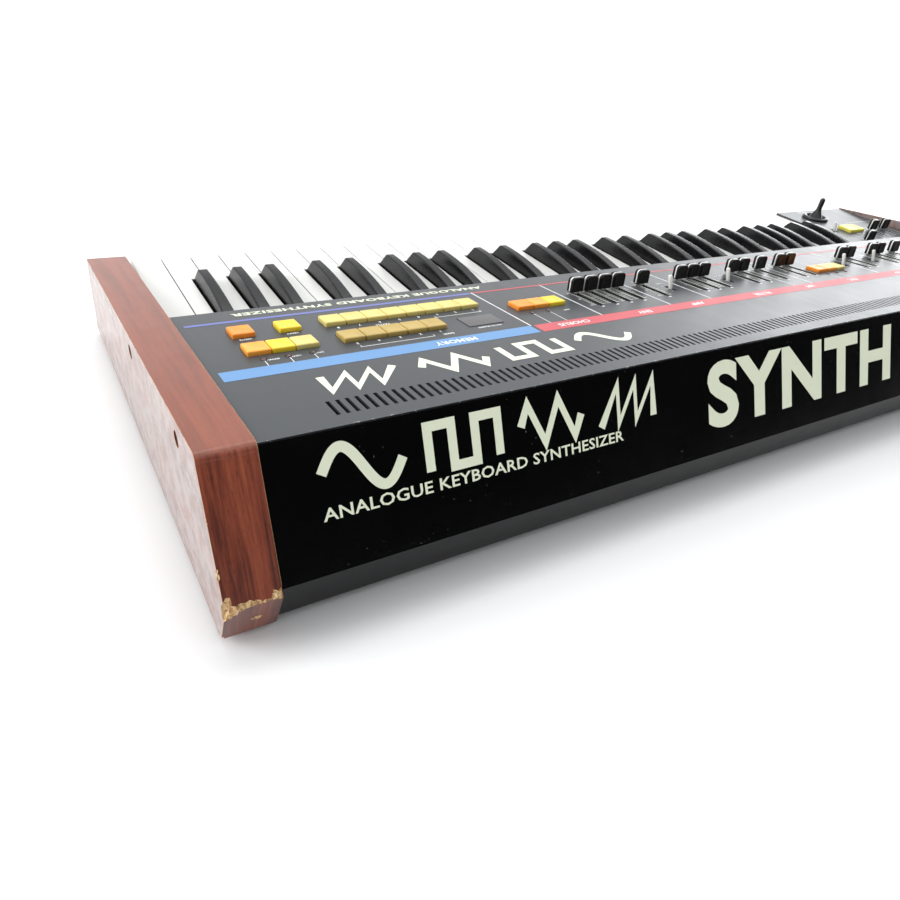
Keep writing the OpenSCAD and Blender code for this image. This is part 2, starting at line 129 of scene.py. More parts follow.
ACROSS = np.array([1.0, 0.0, 0.0])
up_slope = joint_axis("cutoff_cap_slide")
rear_out = -joint_axis("power_switch_press")
down_rear = np.cross(rear_out, ACROSS)
panel_front_y = cad_points("top_panel")[:, 1].min()
rear_top_z = cad_points("rear_panel")[:, 2].max()
panel = on_sheet("top_panel", ACROSS, up_slope, (0, panel_front_y, 0))
rear = on_sheet("rear_panel", ACROSS, down_rear, (0, 0, rear_top_z))
plate = on_sheet("bender_panel", ACROSS, np.array([0.0, 1.0, 0.0]), (0, 0, 0))
PLATE_LIP = 24
plate.origin[2] = cad_points("bender_panel")[:, 2].min() + PLATE_LIP
print("slope in degrees:", round(math.degrees(math.asin(up_slope[2])), 2))
print("lean in degrees:", round(math.degrees(math.asin(rear_out[2])), 2))


def panel_y(y):
    """Distance up the slope of the control panel for a place along the shared frame's Y."""
    return (y - panel_front_y) / up_slope[1]


# %% [markdown]
# ## Loose parts of a CAD node
# A CAD node may hold several like solids: eight patch buttons, or five C keys. Their own places
# are needed to build a finer button exactly there. Two triangles belong to one solid if they share
# a corner, so corners take the lowest label of their triangle over and over until nothing changes.

# %% Find the loose solids of a node


def loose_boxes(node, seat):
    """Lowest and highest corner of every loose solid of a node, in a seat's millimetres, by X."""
    mesh = nodes[node].data
    points = cad_points(node)
    mesh.calc_loop_triangles()
    corners = np.empty(len(mesh.loop_triangles) * 3, np.int32)
    mesh.loop_triangles.foreach_get("vertices", corners)
    _, same = np.unique(np.round(points, 3), axis=0, return_inverse=True)
    triangles = same.ravel()[corners.reshape(-1, 3)]
    label = np.arange(triangles.max() + 1)
    while True:
        lowest = label[triangles].min(axis=1)
        fresh = label.copy()
        for corner in range(3):
            np.minimum.at(fresh, triangles[:, corner], lowest)
        if np.array_equal(fresh, label):
            break
        label = fresh
    local = seat.local(points)
    part = label[same.ravel()]
    boxes = [(local[part == one].min(0), local[part == one].max(0)) for one in np.unique(label)]
    return sorted(boxes, key=lambda box: (round(box[0][0]), box[0][1]))


patch_boxes = loose_boxes("patch_buttons", panel)
print("patch buttons found:", len(patch_boxes), "first from", np.round(patch_boxes[0][0], 2))

# %% [markdown]
# ## Shader maths in plain Python
# A finish is a tree of nodes. Writing it link by link hides the idea, so a socket is wrapped in a
# small class, and + - * / on it add Math nodes. One method makes every other kind of node: it is
# given the type, the settings, which are set first, and the values or links of its sockets.

# %% Wrap a socket and a material


class Wire:
    """An output socket that can be used in arithmetic."""

    def __init__(self, finish, socket):
        self.finish = finish
        self.socket = socket

    def maths(self, operation, *values, clamp=False):
        settings = {"operation": operation, "use_clamp": clamp}
        return self.finish.node("ShaderNodeMath", settings, dict(enumerate(values)))

    def __add__(self, other):
        return self.maths("ADD", self, other)

    def __radd__(self, other):
        return self.maths("ADD", other, self)

    def __sub__(self, other):
        return self.maths("SUBTRACT", self, other)

    def __rsub__(self, other):
        return self.maths("SUBTRACT", other, self)

    def __mul__(self, other):
        return self.maths("MULTIPLY", self, other)

    def __rmul__(self, other):
        return self.maths("MULTIPLY", other, self)

    def __truediv__(self, other):
        return self.maths("DIVIDE", self, other)

    def __rtruediv__(self, other):
        return self.maths("DIVIDE", other, self)

    def clamped(self):
        """The value held between 0 and 1."""
        return self.maths("ADD", self, 0.0, clamp=True)


class Finish:
    """A material with a Principled shader. Numbers given by name are set on the shader itself."""

    def __init__(self, name, **constants):
        self.material = bpy.data.materials.new(name)
        self.material.use_nodes = True
        self.tree = self.material.node_tree
        self.shader = self.tree.nodes["Principled BSDF"]
        for socket, value in constants.items():
            self.shader.inputs[socket.replace("_", " ")].default_value = value
        self.place = self.node("ShaderNodeTexCoord", output="Object")

    def node(self, kind, settings=None, inputs=None, output=0):
        """Adds a node: its settings come first, then the values or links of its sockets."""
        made = self.tree.nodes.new(kind)
        for name, value in (settings or {}).items():
            if name == "stops":
                ramp = made.color_ramp
                while len(ramp.elements) < len(value):
                    ramp.elements.new(1.0)
                for element, (position, colour) in zip(ramp.elements, value):
                    element.position = position
                    element.color = (*colour, 1.0)
            else:
                setattr(made, name, value)
        for socket, value in (inputs or {}).items():
            if isinstance(value, Wire):
                self.tree.links.new(value.socket, made.inputs[socket])
            else:
                made.inputs[socket].default_value = value
        return Wire(self, made.outputs[output])

    def feed(self, socket, wire):
        """Links a value to one of the shader's own sockets."""
        self.tree.links.new(wire.socket, self.shader.inputs[socket])

    def stretched(self, scale, place=None):
        """The place with each direction scaled by its own number."""
        inputs = {"Vector": place or self.place, "Scale": scale}
        return self.node("ShaderNodeMapping", None, inputs)

    def noise(self, size, detail=3.0, rough=0.55, squash=(1, 1, 1), place=None, swirl=0.0):
        """Cloudy noise with features of about size millimetres; squash divides a direction."""
        scale = tuple(part / (size * MM) for part in squash)
        inputs = {"Vector": self.stretched(scale, place), "Scale": 1.0, "Detail": detail,
                  "Roughness": rough, "Distortion": swirl}
        return self.node("ShaderNodeTexNoise", None, inputs)

    def step(self, value, low, high):
        """A smooth step from 0 at low to 1 at high."""
        settings = {"interpolation_type": "SMOOTHSTEP"}
        inputs = {"Value": value, "From Min": low, "From Max": high, "To Min": 0.0, "To Max": 1.0}
        return self.node("ShaderNodeMapRange", settings, inputs)

    def blend(self, share, first, second, kind="MIX"):
        """Mixes two colours; share 0 gives the first."""
        first = first if isinstance(first, Wire) else (*first, 1.0)
        second = second if isinstance(second, Wire) else (*second, 1.0)
        settings = {"data_type": "RGBA", "blend_type": kind, "clamp_factor": True}
        return self.node("ShaderNodeMix", settings, {0: share, 6: first, 7: second}, output=2)

    def ramp(self, value, stops):
        """A colour looked up along a ramp of stops."""
        return self.node("ShaderNodeValToRGB", {"stops": stops}, {0: value})

    def parts(self, place=None):
        """X, Y and Z of a place, in metres, as three values."""
        split = self.node("ShaderNodeSeparateXYZ", None, {0: place or self.place})
        outputs = split.socket.node.outputs
        return [Wire(self, outputs[i]) for i in range(3)]

    def bump(self, height, depth, strength=1.0):
        """Feeds a height, 0 to 1, to the normal as relief depth millimetres deep."""
        inputs = {"Height": height, "Distance": depth * MM, "Strength": strength}
        self.feed("Normal", self.node("ShaderNodeBump", None, inputs))


print("shader words ready")

# %% [markdown]
# ## Wood
# The cheeks are particleboard under a thin rosewood veneer with a satin lacquer. Veneer grain runs
# along a sheet, and each face is its own sheet, so the pattern follows a UV map that is measured
# along and across the grain of every face. Long slow streaks give the figure, short dark flecks
# the pores, and the lacquer is a clear coat with a slightly uneven gloss. Knocked-off corners show
# the pale flakes of the board.

# %% Veneer, its rubbed edge and the board inside


def veneer():
    """Lacquered rosewood. The grain map's second number tells the faces apart: under 1 on the
    top, about 3 on the side and about 7 on the rear face. Only the side is painted pale, partly the
    patchy haze of worn lacquer and partly a painted highlight of the glare on it, and the top is
    painted lighter and more even than the rest, a painted sheen."""
    finish = Finish("rosewood_veneer", IOR=1.38, Coat_IOR=1.4, Coat_Roughness=0.24)
    place = finish.node("ShaderNodeUVMap", {"uv_map": "grain"})
    across = finish.parts(place)[1]
    side = finish.step(across, 1.5, 2.0) * (1 - finish.step(across, 4.0, 5.0))
    wander = finish.noise(60, 2.0, squash=(0.4, 1, 1), place=place)
    figure = finish.noise(7, 4.0, 0.6, squash=(0.06, 1, 1), place=place, swirl=0.5)
    streaks = finish.noise(1.6, 3.0, 0.65, squash=(0.035, 1, 1), place=place)
    pores = finish.noise(0.5, 1.0, 0.4, squash=(0.11, 1, 1), place=place)
    tone = (figure * 0.6 + streaks * 0.38 + wander * 0.25 - 0.12).clamped()
    wood = finish.ramp(tone, [(0.30, (0.020, 0.005, 0.003)), (0.42, (0.110, 0.020, 0.009)),
                              (0.53, (0.215, 0.044, 0.019)), (0.68, (0.33, 0.084, 0.037))])
    fleck = finish.step(pores, 0.61, 0.70)
    dark = finish.blend(fleck * 0.5, wood, (0.016, 0.005, 0.004))
    rubbed = finish.noise(38, 4.0, 0.6)
    # The top face is painted lighter and more even: a painted sheen of the light that falls on it.
    top_sheen = finish.blend((1 - finish.step(across, 1.0, 1.5)) * 0.6, dark, (0.25, 0.075, 0.042))
    scuffed = finish.blend(finish.step(rubbed, 0.58, 0.8) * 0.22, top_sheen, (0.34, 0.17, 0.11))
    spots = finish.step(finish.noise(14, 5.0, 0.7), 0.36, 0.62)
    # The side is painted pale: partly patchy worn lacquer, partly a painted highlight of the glare
    # it catches.
    haze_and_glare = finish.blend(side * (rubbed * 0.3 + spots * 0.42 + 0.08), scuffed, (0.44, 0.405, 0.385))
    finish.feed("Base Color", haze_and_glare)
    finish.feed("Roughness", rubbed * 0.22 + streaks * 0.12 + 0.26)
    finish.feed("Coat Weight", 0.5 - fleck * 0.4 + side * 0.25)
    finish.bump(streaks * 0.5 + (1 - fleck) * 0.5, 0.05)
    return finish.material


def veneer_edge():
    """The rounded edges, rubbed through to pale wood in patches, most of all near the rear."""
    finish = Finish("rosewood_rubbed_edge", Coat_Roughness=0.4)
    wear = finish.noise(9, 5.0, 0.7)
    fine = finish.noise(1.1, 3.0, 0.6)
    rearward = finish.step(finish.parts()[1], 0.130, 0.165)
    worn = finish.step(wear * 0.75 + fine * 0.25 + rearward * 0.24, 0.42, 0.54)
    finish.feed("Base Color", finish.blend(worn, (0.15, 0.045, 0.026), (0.52, 0.31, 0.155)))
    finish.feed("Roughness", worn * 0.3 + 0.4)
    finish.feed("Coat Weight", 0.5 - worn * 0.5)
    finish.bump(fine, 0.12)
    return finish.material


def particleboard():
    """The board's own flakes and crumbs, where a corner is gone."""
    finish = Finish("particleboard", Roughness=0.9)
    flakes = finish.node("ShaderNodeTexVoronoi", {"feature": "F1"},
                         {"Vector": finish.stretched((900, 900, 420)), "Scale": 1.0}, "Color")
    shade = finish.parts(flakes)[0]
    crumbs = finish.noise(0.8, 4.0, 0.7)
    tan = finish.ramp(shade, [(0.0, (0.36, 0.19, 0.08)), (0.45, (0.68, 0.43, 0.20)),
                              (1.0, (0.88, 0.66, 0.38))])
    finish.feed("Base Color", finish.blend(finish.step(crumbs, 0.5, 0.75) * 0.6, tan,
                                           (0.22, 0.11, 0.06)))
    finish.bump(shade * 0.6 + crumbs * 0.4, 0.6)
    return finish.material


ROSEWOOD = veneer()
ROSEWOOD_EDGE = veneer_edge()
CHIPBOARD = particleboard()
print("wood finishes:", ROSEWOOD.name, ROSEWOOD_EDGE.name, CHIPBOARD.name)

# %% [markdown]
# ## Enamelled steel
# The sheets are sprayed. The control panel is satin charcoal with the faint pebble of sprayed
# paint, the rear panel is gloss black, and the chassis is a duller black. Paint settles unevenly,
# so the gloss wanders slowly, fine dust lies on it as tiny pale specks, and paint is lost in small
# chips along the edges that get knocked.

# %% One function for the three enamels


def enamel(name, colour, gloss, pebble, dust, chipped=None, coat=0.0, scratch=0.0, lift=0.002,
           index=1.5):
    """Sprayed paint. chipped is the Y range in metres over which edge chips grow."""
    finish = Finish(name, IOR=index, Coat_Weight=coat, Coat_Roughness=0.06)
    drift = finish.noise(70, 3.0, 0.6)
    grain = finish.noise(pebble, 2.0, 0.5)
    smear = finish.noise(11, 4.0, 0.65, squash=(1, 0.25, 1))
    tint = finish.blend(drift * 0.5, colour, tuple(part * 1.35 + lift for part in colour))
    specks = finish.step(finish.noise(1.4, 1.0, 0.4), 0.795 - dust, 0.83 - dust)
    specks = specks * finish.step(finish.noise(26, 2.0), 0.50, 0.66)
    paint = finish.blend(specks * 0.4, tint, (0.34, 0.33, 0.31))
    chips = specks * 0.0
    if chipped:
        away = finish.step(finish.parts()[1], *chipped)
        flaking = finish.noise(2.6, 4.0, 0.65)
        chips = away * finish.step(flaking, 0.60, 0.64)
        paint = finish.blend(chips, paint, (0.42, 0.41, 0.38))
    lines = finish.step(finish.noise(0.55, 2.0, 0.5, squash=(0.02, 1, 1), swirl=0.2), 0.66, 0.74)
    finish.feed("Base Color", paint)
    finish.feed("Roughness", gloss + drift * 0.08 + smear * 0.09 + specks * 0.3 + lines * scratch)
    finish.bump(grain * 0.8 + specks * 0.2 - chips * 0.8, 0.035)
    return finish.material


CHARCOAL = enamel("charcoal_enamel", (0.038, 0.042, 0.046), 0.30, 0.9, 0.02, (0.1505, 0.1535))
GLOSS_BLACK = enamel("gloss_black_enamel", (0.0012, 0.0012, 0.0014), 0.08, 1.6, 0.045,
                     scratch=0.06, lift=0.0003, index=1.3)
CHASSIS_BLACK = enamel("chassis_enamel", (0.004, 0.0041, 0.0046), 0.26, 0.8, 0.03,
                       lift=0.001, index=1.22)
print("enamels:", CHARCOAL.name, GLOSS_BLACK.name, CHASSIS_BLACK.name)

# %% [markdown]
# ## Plastics
# Keys are polished mouldings, caps have a finely eroded surface, and the push buttons are soft
# coloured plastic that has darkened a little in patches. All of them are one kind of finish with
# other numbers: slow colour drift, a fine grain in the relief, and smudges in the gloss. The
# white keys also have painted shade low on their sides, which draws the dark lines between them.

# %% One function for every plastic


KEY_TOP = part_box("c_keys")[1][2]
KEY_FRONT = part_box("c_keys")[0][1]


def plastic(name, colour, gloss, grain=0.25, relief=0.02, stain=None, coat=0.0, soft=0.0,
            index=1.5, gap_shade=None):
    """Moulded plastic. gap_shade is the range of heights in metres over which painted shade on the
    sides, standing in for the shade between keys, ends. The front face of a key gets none."""
    finish = Finish(name, IOR=index, Coat_Weight=coat, Coat_Roughness=0.08,
                    Subsurface_Weight=soft, Subsurface_Scale=0.002)
    drift = finish.noise(14, 3.0, 0.55)
    smudge = finish.noise(5, 4.0, 0.65)
    fine = finish.noise(grain, 2.0, 0.5)
    stain = stain or tuple(part * 0.80 for part in colour)
    tint = finish.blend(finish.step(drift, 0.35, 0.75) * 0.55, colour, stain)
    marks = finish.step(finish.noise(0.9, 2.0, 0.5), 0.70, 0.76)
    surface = finish.blend(marks * 0.3, tint, tuple(part * 0.45 for part in stain))
    # Painted shade: the key sides are darkened low down, standing in for the shade in the gaps
    # between keys.
    if gap_shade:
        _, rearward, upward = finish.parts()
        sides = finish.step(rearward, KEY_FRONT + 0.0006, KEY_FRONT + 0.0016)
        low = (1 - finish.step(upward, *gap_shade)) * sides
        surface = finish.blend(low, surface, (0.10, 0.095, 0.085))
    finish.feed("Base Color", surface)
    finish.feed("Roughness", gloss + smudge * 0.14 + fine * 0.05)
    finish.bump(fine * 0.7 + smudge * 0.3, relief)
    return finish.material


# The white keys get painted shade low on their sides for the gaps between them.
WHITE_KEY = plastic("white_key_plastic", (0.70, 0.70, 0.68), 0.12, stain=(0.68, 0.67, 0.63),
                    coat=0.3, gap_shade=(KEY_TOP - 0.0016, KEY_TOP - 0.0003))
BLACK_KEY = plastic("black_key_plastic", (0.0035, 0.0035, 0.0042), 0.16,
                    stain=(0.006, 0.006, 0.007), index=1.4)
CAP_BLACK = plastic("cap_black_plastic", (0.002, 0.002, 0.0023), 0.20, stain=(0.003, 0.003, 0.003),
                    index=1.38)
LEVER_BLACK = plastic("lever_black_plastic", (0.006, 0.006, 0.0065), 0.22,
                      stain=(0.011, 0.011, 0.011))
BUTTON = {
    name: plastic("button_" + name, colour, gloss, stain=stain, soft=0.1)
    for name, (colour, gloss, stain) in {
        "orange": ((0.92, 0.30, 0.03), 0.30, (0.82, 0.23, 0.02)),
        "amber": ((0.93, 0.38, 0.045), 0.30, (0.84, 0.30, 0.03)),
        "yellow": ((0.88, 0.64, 0.03), 0.30, (0.78, 0.53, 0.02)),
        "cream": ((0.70, 0.585, 0.19), 0.32, (0.61, 0.48, 0.14)),
        "tan": ((0.47, 0.33, 0.09), 0.34, (0.38, 0.26, 0.065)),
        "lemon": ((0.86, 0.76, 0.13), 0.32, (0.76, 0.64, 0.09)),
    }.items()
}
SWITCH_WHITE = plastic("switch_white", (0.80, 0.80, 0.77), 0.28, stain=(0.72, 0.71, 0.64))
SWITCH_BLACK = plastic("switch_black", (0.014, 0.014, 0.015), 0.30)
INDEX_WHITE = plastic("index_line_white", (0.82, 0.82, 0.79), 0.40)
RUBBER = plastic("black_rubber", (0.006, 0.006, 0.006), 0.40, grain=0.6, relief=0.05)
print("plastics:", len(BUTTON) + 8)

# %% [markdown]
# ## Lamps and the display
# A lamp is a clear red dome over a dark chip, unlit here. The display is a smoked red window.
# Both are nearly black inside, with all of their look in the gloss of the skin.

# %% Lamp, lens and ink finishes


def lamp_red():
    """Red moulding with a darker chip showing through it in places."""
    finish = Finish("lamp_red", Roughness=0.12, IOR=1.55, Coat_Weight=0.6)
    depth = finish.noise(1.4, 2.0)
    finish.feed("Base Color", finish.ramp(depth, [(0.3, (0.030, 0.003, 0.003)),
                                                  (0.7, (0.13, 0.009, 0.007))]))
    finish.bump(depth, 0.05)
    return finish.material


def red_lens():
    """Smoked red window with a little dust on it."""
    finish = Finish("red_lens", IOR=1.49, Coat_Weight=0.5, Coat_Roughness=0.04)
    dusty = finish.noise(2.2, 4.0, 0.7)
    finish.feed("Base Color", finish.ramp(dusty, [(0.45, (0.010, 0.004, 0.005)),
                                                  (0.8, (0.035, 0.016, 0.017))]))
    finish.feed("Roughness", dusty * 0.25 + 0.03)
    finish.bump(dusty, 0.01)
    return finish.material


def ink(name, colour, wear=0.5):
    """Screen-printed ink: slightly raised and matt, and in places thin enough to show paint."""
    finish = Finish(name, IOR=1.45)
    cover = finish.noise(4.5, 5.0, 0.7)
    weave = finish.noise(0.35, 1.0, 0.5)
    thin = finish.step(cover, 0.60, 0.80) * wear
    finish.feed("Base Color", finish.blend(thin * 0.55 + weave * 0.06, colour,
                                           tuple(part * 0.35 for part in colour)))
    finish.feed("Roughness", 0.42 + weave * 0.12)
    finish.bump(weave, 0.012)
    return finish.material


LAMP_RED = lamp_red()
RED_LENS = red_lens()
CREAM_INK = ink("cream_ink", (0.76, 0.80, 0.62))
WHITE_INK = ink("white_ink", (0.80, 0.82, 0.82))
BLUE_INK = ink("blue_ink", (0.125, 0.275, 0.52), 0.35)
PINK_INK = ink("pink_ink", (0.53, 0.085, 0.10), 0.35)
VIOLET_INK = ink("violet_ink", (0.145, 0.17, 0.43), 0.35)
SCALE_INK = ink("scale_ink", (0.80, 0.80, 0.70), 0.4)
# Black, nearly unreflecting bars along the slot edges: painted shade of the slot openings.
SLOT_SHADE = plastic("slot_edge_painted_shade", (0.002, 0.002, 0.002), 0.8, index=1.12)
print("inks and lamps ready")

# %% [markdown]
# ## Metal and boards
# Bright zinc covers the keybed frame, the slider stems are duller steel, the sockets are nickel,
# the screws are blackened, and the transformer is a stack of steel sheets. Black felt keeps dust
# out of the slider slots. Circuit boards are green lacquer with tracks under it.

# %% Metals, laminations and circuit board


def metal(name, colour, gloss, patch=9.0, brushed=(1, 1, 1), tarnish=0.45):
    """Bare or plated metal. brushed stretches the fine scratches, tarnish darkens in patches."""
    finish = Finish(name, Metallic=1.0)
    crystals = finish.noise(patch, 3.0, 0.6)
    scratch = finish.noise(0.6, 3.0, 0.6, squash=brushed)
    dull = finish.step(crystals, 0.45, 0.75)
    finish.feed("Base Color", finish.blend(dull * tarnish, colour, tuple(c * 0.45 for c in colour)))
    finish.feed("Roughness", gloss + dull * 0.2 + scratch * 0.15)
    finish.bump(scratch, 0.03)
    return finish.material


def circuit_board():
    """Green lacquer over tracks at the borders of stretched cells, and tinned pads at others."""
    finish = Finish("circuit_board", Coat_Weight=0.5, Coat_Roughness=0.15)
    tracks = finish.node("ShaderNodeTexVoronoi", {"feature": "DISTANCE_TO_EDGE"},
                         {"Vector": finish.stretched((70, 240, 70)), "Scale": 1.0}, "Distance")
    track = 1 - finish.step(tracks, 0.06, 0.10)
    pads = finish.node("ShaderNodeTexVoronoi", {"feature": "F1"},
                       {"Vector": finish.stretched((260, 260, 20)), "Scale": 1.0}, "Distance")
    pad = 1 - finish.step(pads, 0.10, 0.16)
    green = finish.blend(track, (0.020, 0.085, 0.035), (0.045, 0.16, 0.055))
    finish.feed("Base Color", finish.blend(pad, green, (0.55, 0.53, 0.48)))
    finish.feed("Roughness", 0.45 - pad * 0.2)
    finish.feed("Metallic", pad)
    finish.bump(track * 0.5 + pad * 0.5, 0.05)
    return finish.material


LAMINATION = 0.5


def laminations():
    """Steel sheets stacked upwards, seen as stripes one lamination apart."""
    finish = Finish("core_laminations")
    turns = finish.parts()[2] * (2 * math.pi / (LAMINATION * MM))
    sheets = turns.maths("SINE", turns)
    varnish = finish.noise(8, 4.0, 0.6)
    line = sheets * 0.5 + 0.5
    finish.feed("Base Color", finish.ramp(line * 0.5 + varnish * 0.5, [(0.3, (0.06, 0.05, 0.04)),
                                                                      (0.75, (0.26, 0.22, 0.17))]))
    finish.feed("Roughness", varnish * 0.3 + 0.35)
    finish.bump(line, 0.08)
    return finish.material


ZINC = metal("zinc_steel", (0.60, 0.61, 0.62), 0.28, patch=14)
SLIDER_METAL = metal("slider_metal", (0.50, 0.50, 0.51), 0.32, brushed=(0.1, 1, 1))
# Black felt for the slider bodies, also used for the painted shade sheet under the vents.
FELT_AND_SHADE_BLACK = plastic("felt_and_shade_black", (0.003, 0.003, 0.003), 0.8, grain=0.35, relief=0.1, index=1.12)
SOCKET_METAL = metal("socket_metal", (0.74, 0.73, 0.70), 0.16, tarnish=0.3)
SCREW_BLACK = metal("blackened_screw", (0.075, 0.062, 0.055), 0.36, patch=2.5, tarnish=0.6)
BOARD_GREEN = circuit_board()
CORE_STEEL = laminations()
print("metals and boards ready")

# %% [markdown]
# ## Turning arrays into pieces
# Every new shape is worked out as arrays of points and faces. A shape is a pair, its points and a
# list of face arrays, in the millimetres of some seat, so shapes can be joined like building
# blocks before one mesh is made of them. The piece then rides on the body it belongs to, and the
# CAD nodes it stands for are hidden.

# %% Join shapes, make a mesh, place it on its body


def joined(shapes):
    """One shape from several: the face numbers are moved on by the points that came before."""
    points, faces, count = [], [], 0
    for some_points, some_faces in shapes:
        points.append(some_points)
        faces += [block + count for block in some_faces]
        count += len(some_points)
    return np.concatenate(points), faces


def placed(shape, seat):
    """The shape moved from a seat's millimetres into the shared frame's metres."""
    return seat.place(shape[0]), shape[1]


def make_piece(name, shape, material, body, replaces=(), crease=38.0):
    """A mesh object from a shape in metres, smooth except across edges sharper than crease."""
    points, faces = shape
    mesh = bpy.data.meshes.new(name)
    mesh.from_pydata(points.tolist(), [], [face for block in faces for face in block.tolist()])
    mesh.polygons.foreach_set("use_smooth", np.ones(len(mesh.polygons), bool))
    mesh.set_sharp_from_angle(angle=math.radians(crease))
    mesh.materials.append(material)
    piece = bpy.data.objects.new(name, mesh)
    bpy.context.scene.collection.objects.link(piece)
    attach(piece, body)
    if replaces:
        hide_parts(*replaces)
    return piece


# %% Skin a stack of rings


def skin(rings, hollow=False):
    """Faces over a stack of closed rings (level, point, xyz), counter-clockwise from above, each
    ring joined to the next by four-sided faces. The two ends are closed by fans to their middle,
    or, when hollow, the last ring is joined back to the first."""
    levels, count = rings.shape[:2]
    ring = np.arange(count)
    after = np.roll(ring, -1)
    level = np.arange(levels if hollow else levels - 1)[:, None]
    below = level * count
    above = (level + 1) % levels * count
    quads = np.stack([below + ring, below + after, above + after, above + ring], -1).reshape(-1, 4)
    points = rings.reshape(-1, 3)
    if hollow:
        return points, [quads]
    middles = np.array([rings[0].mean(0), rings[-1].mean(0)])
    top = (levels - 1) * count
    low_fan = np.stack([after, ring, np.full(count, len(points))], -1)
    high_fan = np.stack([top + ring, top + after, np.full(count, len(points) + 1)], -1)
    return np.concatenate([points, middles]), [quads, low_fan, high_fan]


def edge_round(radius, top, steps=4):
    """Insets and heights of a quarter circle from the side of a block over to its top."""
    turn = np.linspace(0, math.pi / 2, steps + 1)
    return np.stack([radius * (1 - np.cos(turn)), top - radius * (1 - np.sin(turn))], -1)


def block_rings(low, high, corner, profile, steps=4):
    """Rings of a rounded rectangle between two corners, one for each (inset, height) of the
    profile. The inset narrows the rectangle on all sides and its corner circles with it. corner
    is one radius or four, anticlockwise from the far right one."""
    middle = (np.asarray(low) + np.asarray(high))[:2] / 2
    half = (np.asarray(high) - np.asarray(low))[:2] / 2
    profile = np.asarray(profile, float)
    turn = np.linspace(0, math.pi / 2, steps + 1)
    turns = (np.arange(4)[:, None] * math.pi / 2 + turn).ravel()
    sides = np.repeat([[1, 1], [-1, 1], [-1, -1], [1, -1]], steps + 1, axis=0)
    corners = np.repeat(np.broadcast_to(corner, 4), steps + 1)
    inset = profile[:, :1]
    radius = np.maximum(corners - inset, 0.04)
    across = middle[0] + sides[:, 0] * (half[0] - inset - radius) + radius * np.cos(turns)
    along = middle[1] + sides[:, 1] * (half[1] - inset - radius) + radius * np.sin(turns)
    height = np.repeat(profile[:, 1:2], len(turns), axis=1)
    return np.stack([across, along, height], -1)


def soft_block(low, high, corner=0.8, edge=0.9, dish=0.0, steps=4):
    """A block with round upright corners, a round top edge and, with dish, a hollowed top whose
    depth falls off as the square of the way in from the edge."""
    rim = edge_round(edge, high[2], steps)
    reach = min(high[0] - low[0], high[1] - low[1]) / 2 - 0.05
    inward = np.linspace(edge, reach, 5)[1:]
    share = (inward - edge) / (reach - edge)
    bowl = np.stack([inward, high[2] - dish * (1 - (1 - share) ** 2)], -1)
    profile = np.concatenate([[[0.25, low[2]], [0.0, low[2] + 0.3]], rim, bowl])
    return skin(block_rings(low, high, corner, profile, steps))


def turned(profile, count=28, squash=1.0, hollow=False):
    """A surface of revolution: each (radius, height) of the profile makes one ring. squash
    shortens the rings along the second direction."""
    turn = np.linspace(0, 2 * math.pi, count, endpoint=False)
    radius = np.asarray(profile)[:, :1]
    height = np.repeat(np.asarray(profile)[:, 1:2], count, axis=1)
    rings = np.stack([radius * np.cos(turn), radius * np.sin(turn) * squash, height], -1)
    return skin(rings, hollow)


# %% [markdown]
# ## Rounded copies of CAD nodes
# Keys, cheeks and folded sheets already have the right outline, and only miss the small rounding
# that catches light along every real edge. The CAD mesh is loose triangles, so a copy is welded
# first, its flat triangles are dissolved into whole faces, and a Bevel modifier rounds what is
# left sharp. Weighted normals then keep the broad faces flat.

# %% Weld a copy and bevel it


def welded_mesh(node, name):
    """A welded copy of a CAD node's mesh with flat neighbours dissolved."""
    mesh = nodes[node].data.copy()
    mesh.name = name
    if "custom_normal" in mesh.attributes:
        mesh.attributes.remove(mesh.attributes["custom_normal"])
    tool = bmesh.new()
    tool.from_mesh(mesh)
    bmesh.ops.remove_doubles(tool, verts=tool.verts, dist=0.002 * MM)
    bmesh.ops.dissolve_limit(tool, angle_limit=math.radians(0.8), verts=tool.verts,
                             edges=tool.edges, delimit={"NORMAL"})
    tool.to_mesh(mesh)
    tool.free()
    mesh.materials.clear()
    mesh.polygons.foreach_set("use_smooth", np.ones(len(mesh.polygons), bool))
    return mesh


def rounded_copy(node, material, bevel, steps=2, edge_material=None, name=None):
    """A bevelled stand-in for a CAD node, riding on the same body. The strips that the bevel
    makes take the edge material when there is one."""
    mesh = welded_mesh(node, name or node + "_rounded")
    mesh.materials.append(material)
    if edge_material:
        mesh.materials.append(edge_material)
    piece = bpy.data.objects.new(mesh.name, mesh)
    bpy.context.scene.collection.objects.link(piece)
    rounding = piece.modifiers.new("rounded edges", "BEVEL")
    rounding.width = bevel * MM
    rounding.segments = steps
    rounding.limit_method = "ANGLE"
    rounding.angle_limit = math.radians(28)
    rounding.miter_outer = "MITER_ARC"
    rounding.use_clamp_overlap = True
    rounding.material = 1 if edge_material else -1
    normals = piece.modifiers.new("flat faces", "WEIGHTED_NORMAL")
    normals.keep_sharp = False
    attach(piece, nodes[node]["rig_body"])
    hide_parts(node)
    return piece


def dress(node, material):
    """Gives a CAD node, as it stands, a material in place of its plain one."""
    nodes[node].data.materials.clear()
    nodes[node].data.materials.append(material)


# %% [markdown]
# ## Cheeks with their knocks
# Each cheek is a rounded copy. Where a corner was knocked off, a lumpy stone shape is taken away
# with a Boolean modifier, and the cut keeps the stone's own material, which is the board inside.
# The result is made a plain mesh, and every face then gets its grain coordinates: along the grain
# first, across it second, in metres. On the narrow rear face the grain runs down, on the top and
# the side it runs front to rear.

# %% Stones to knock corners off with


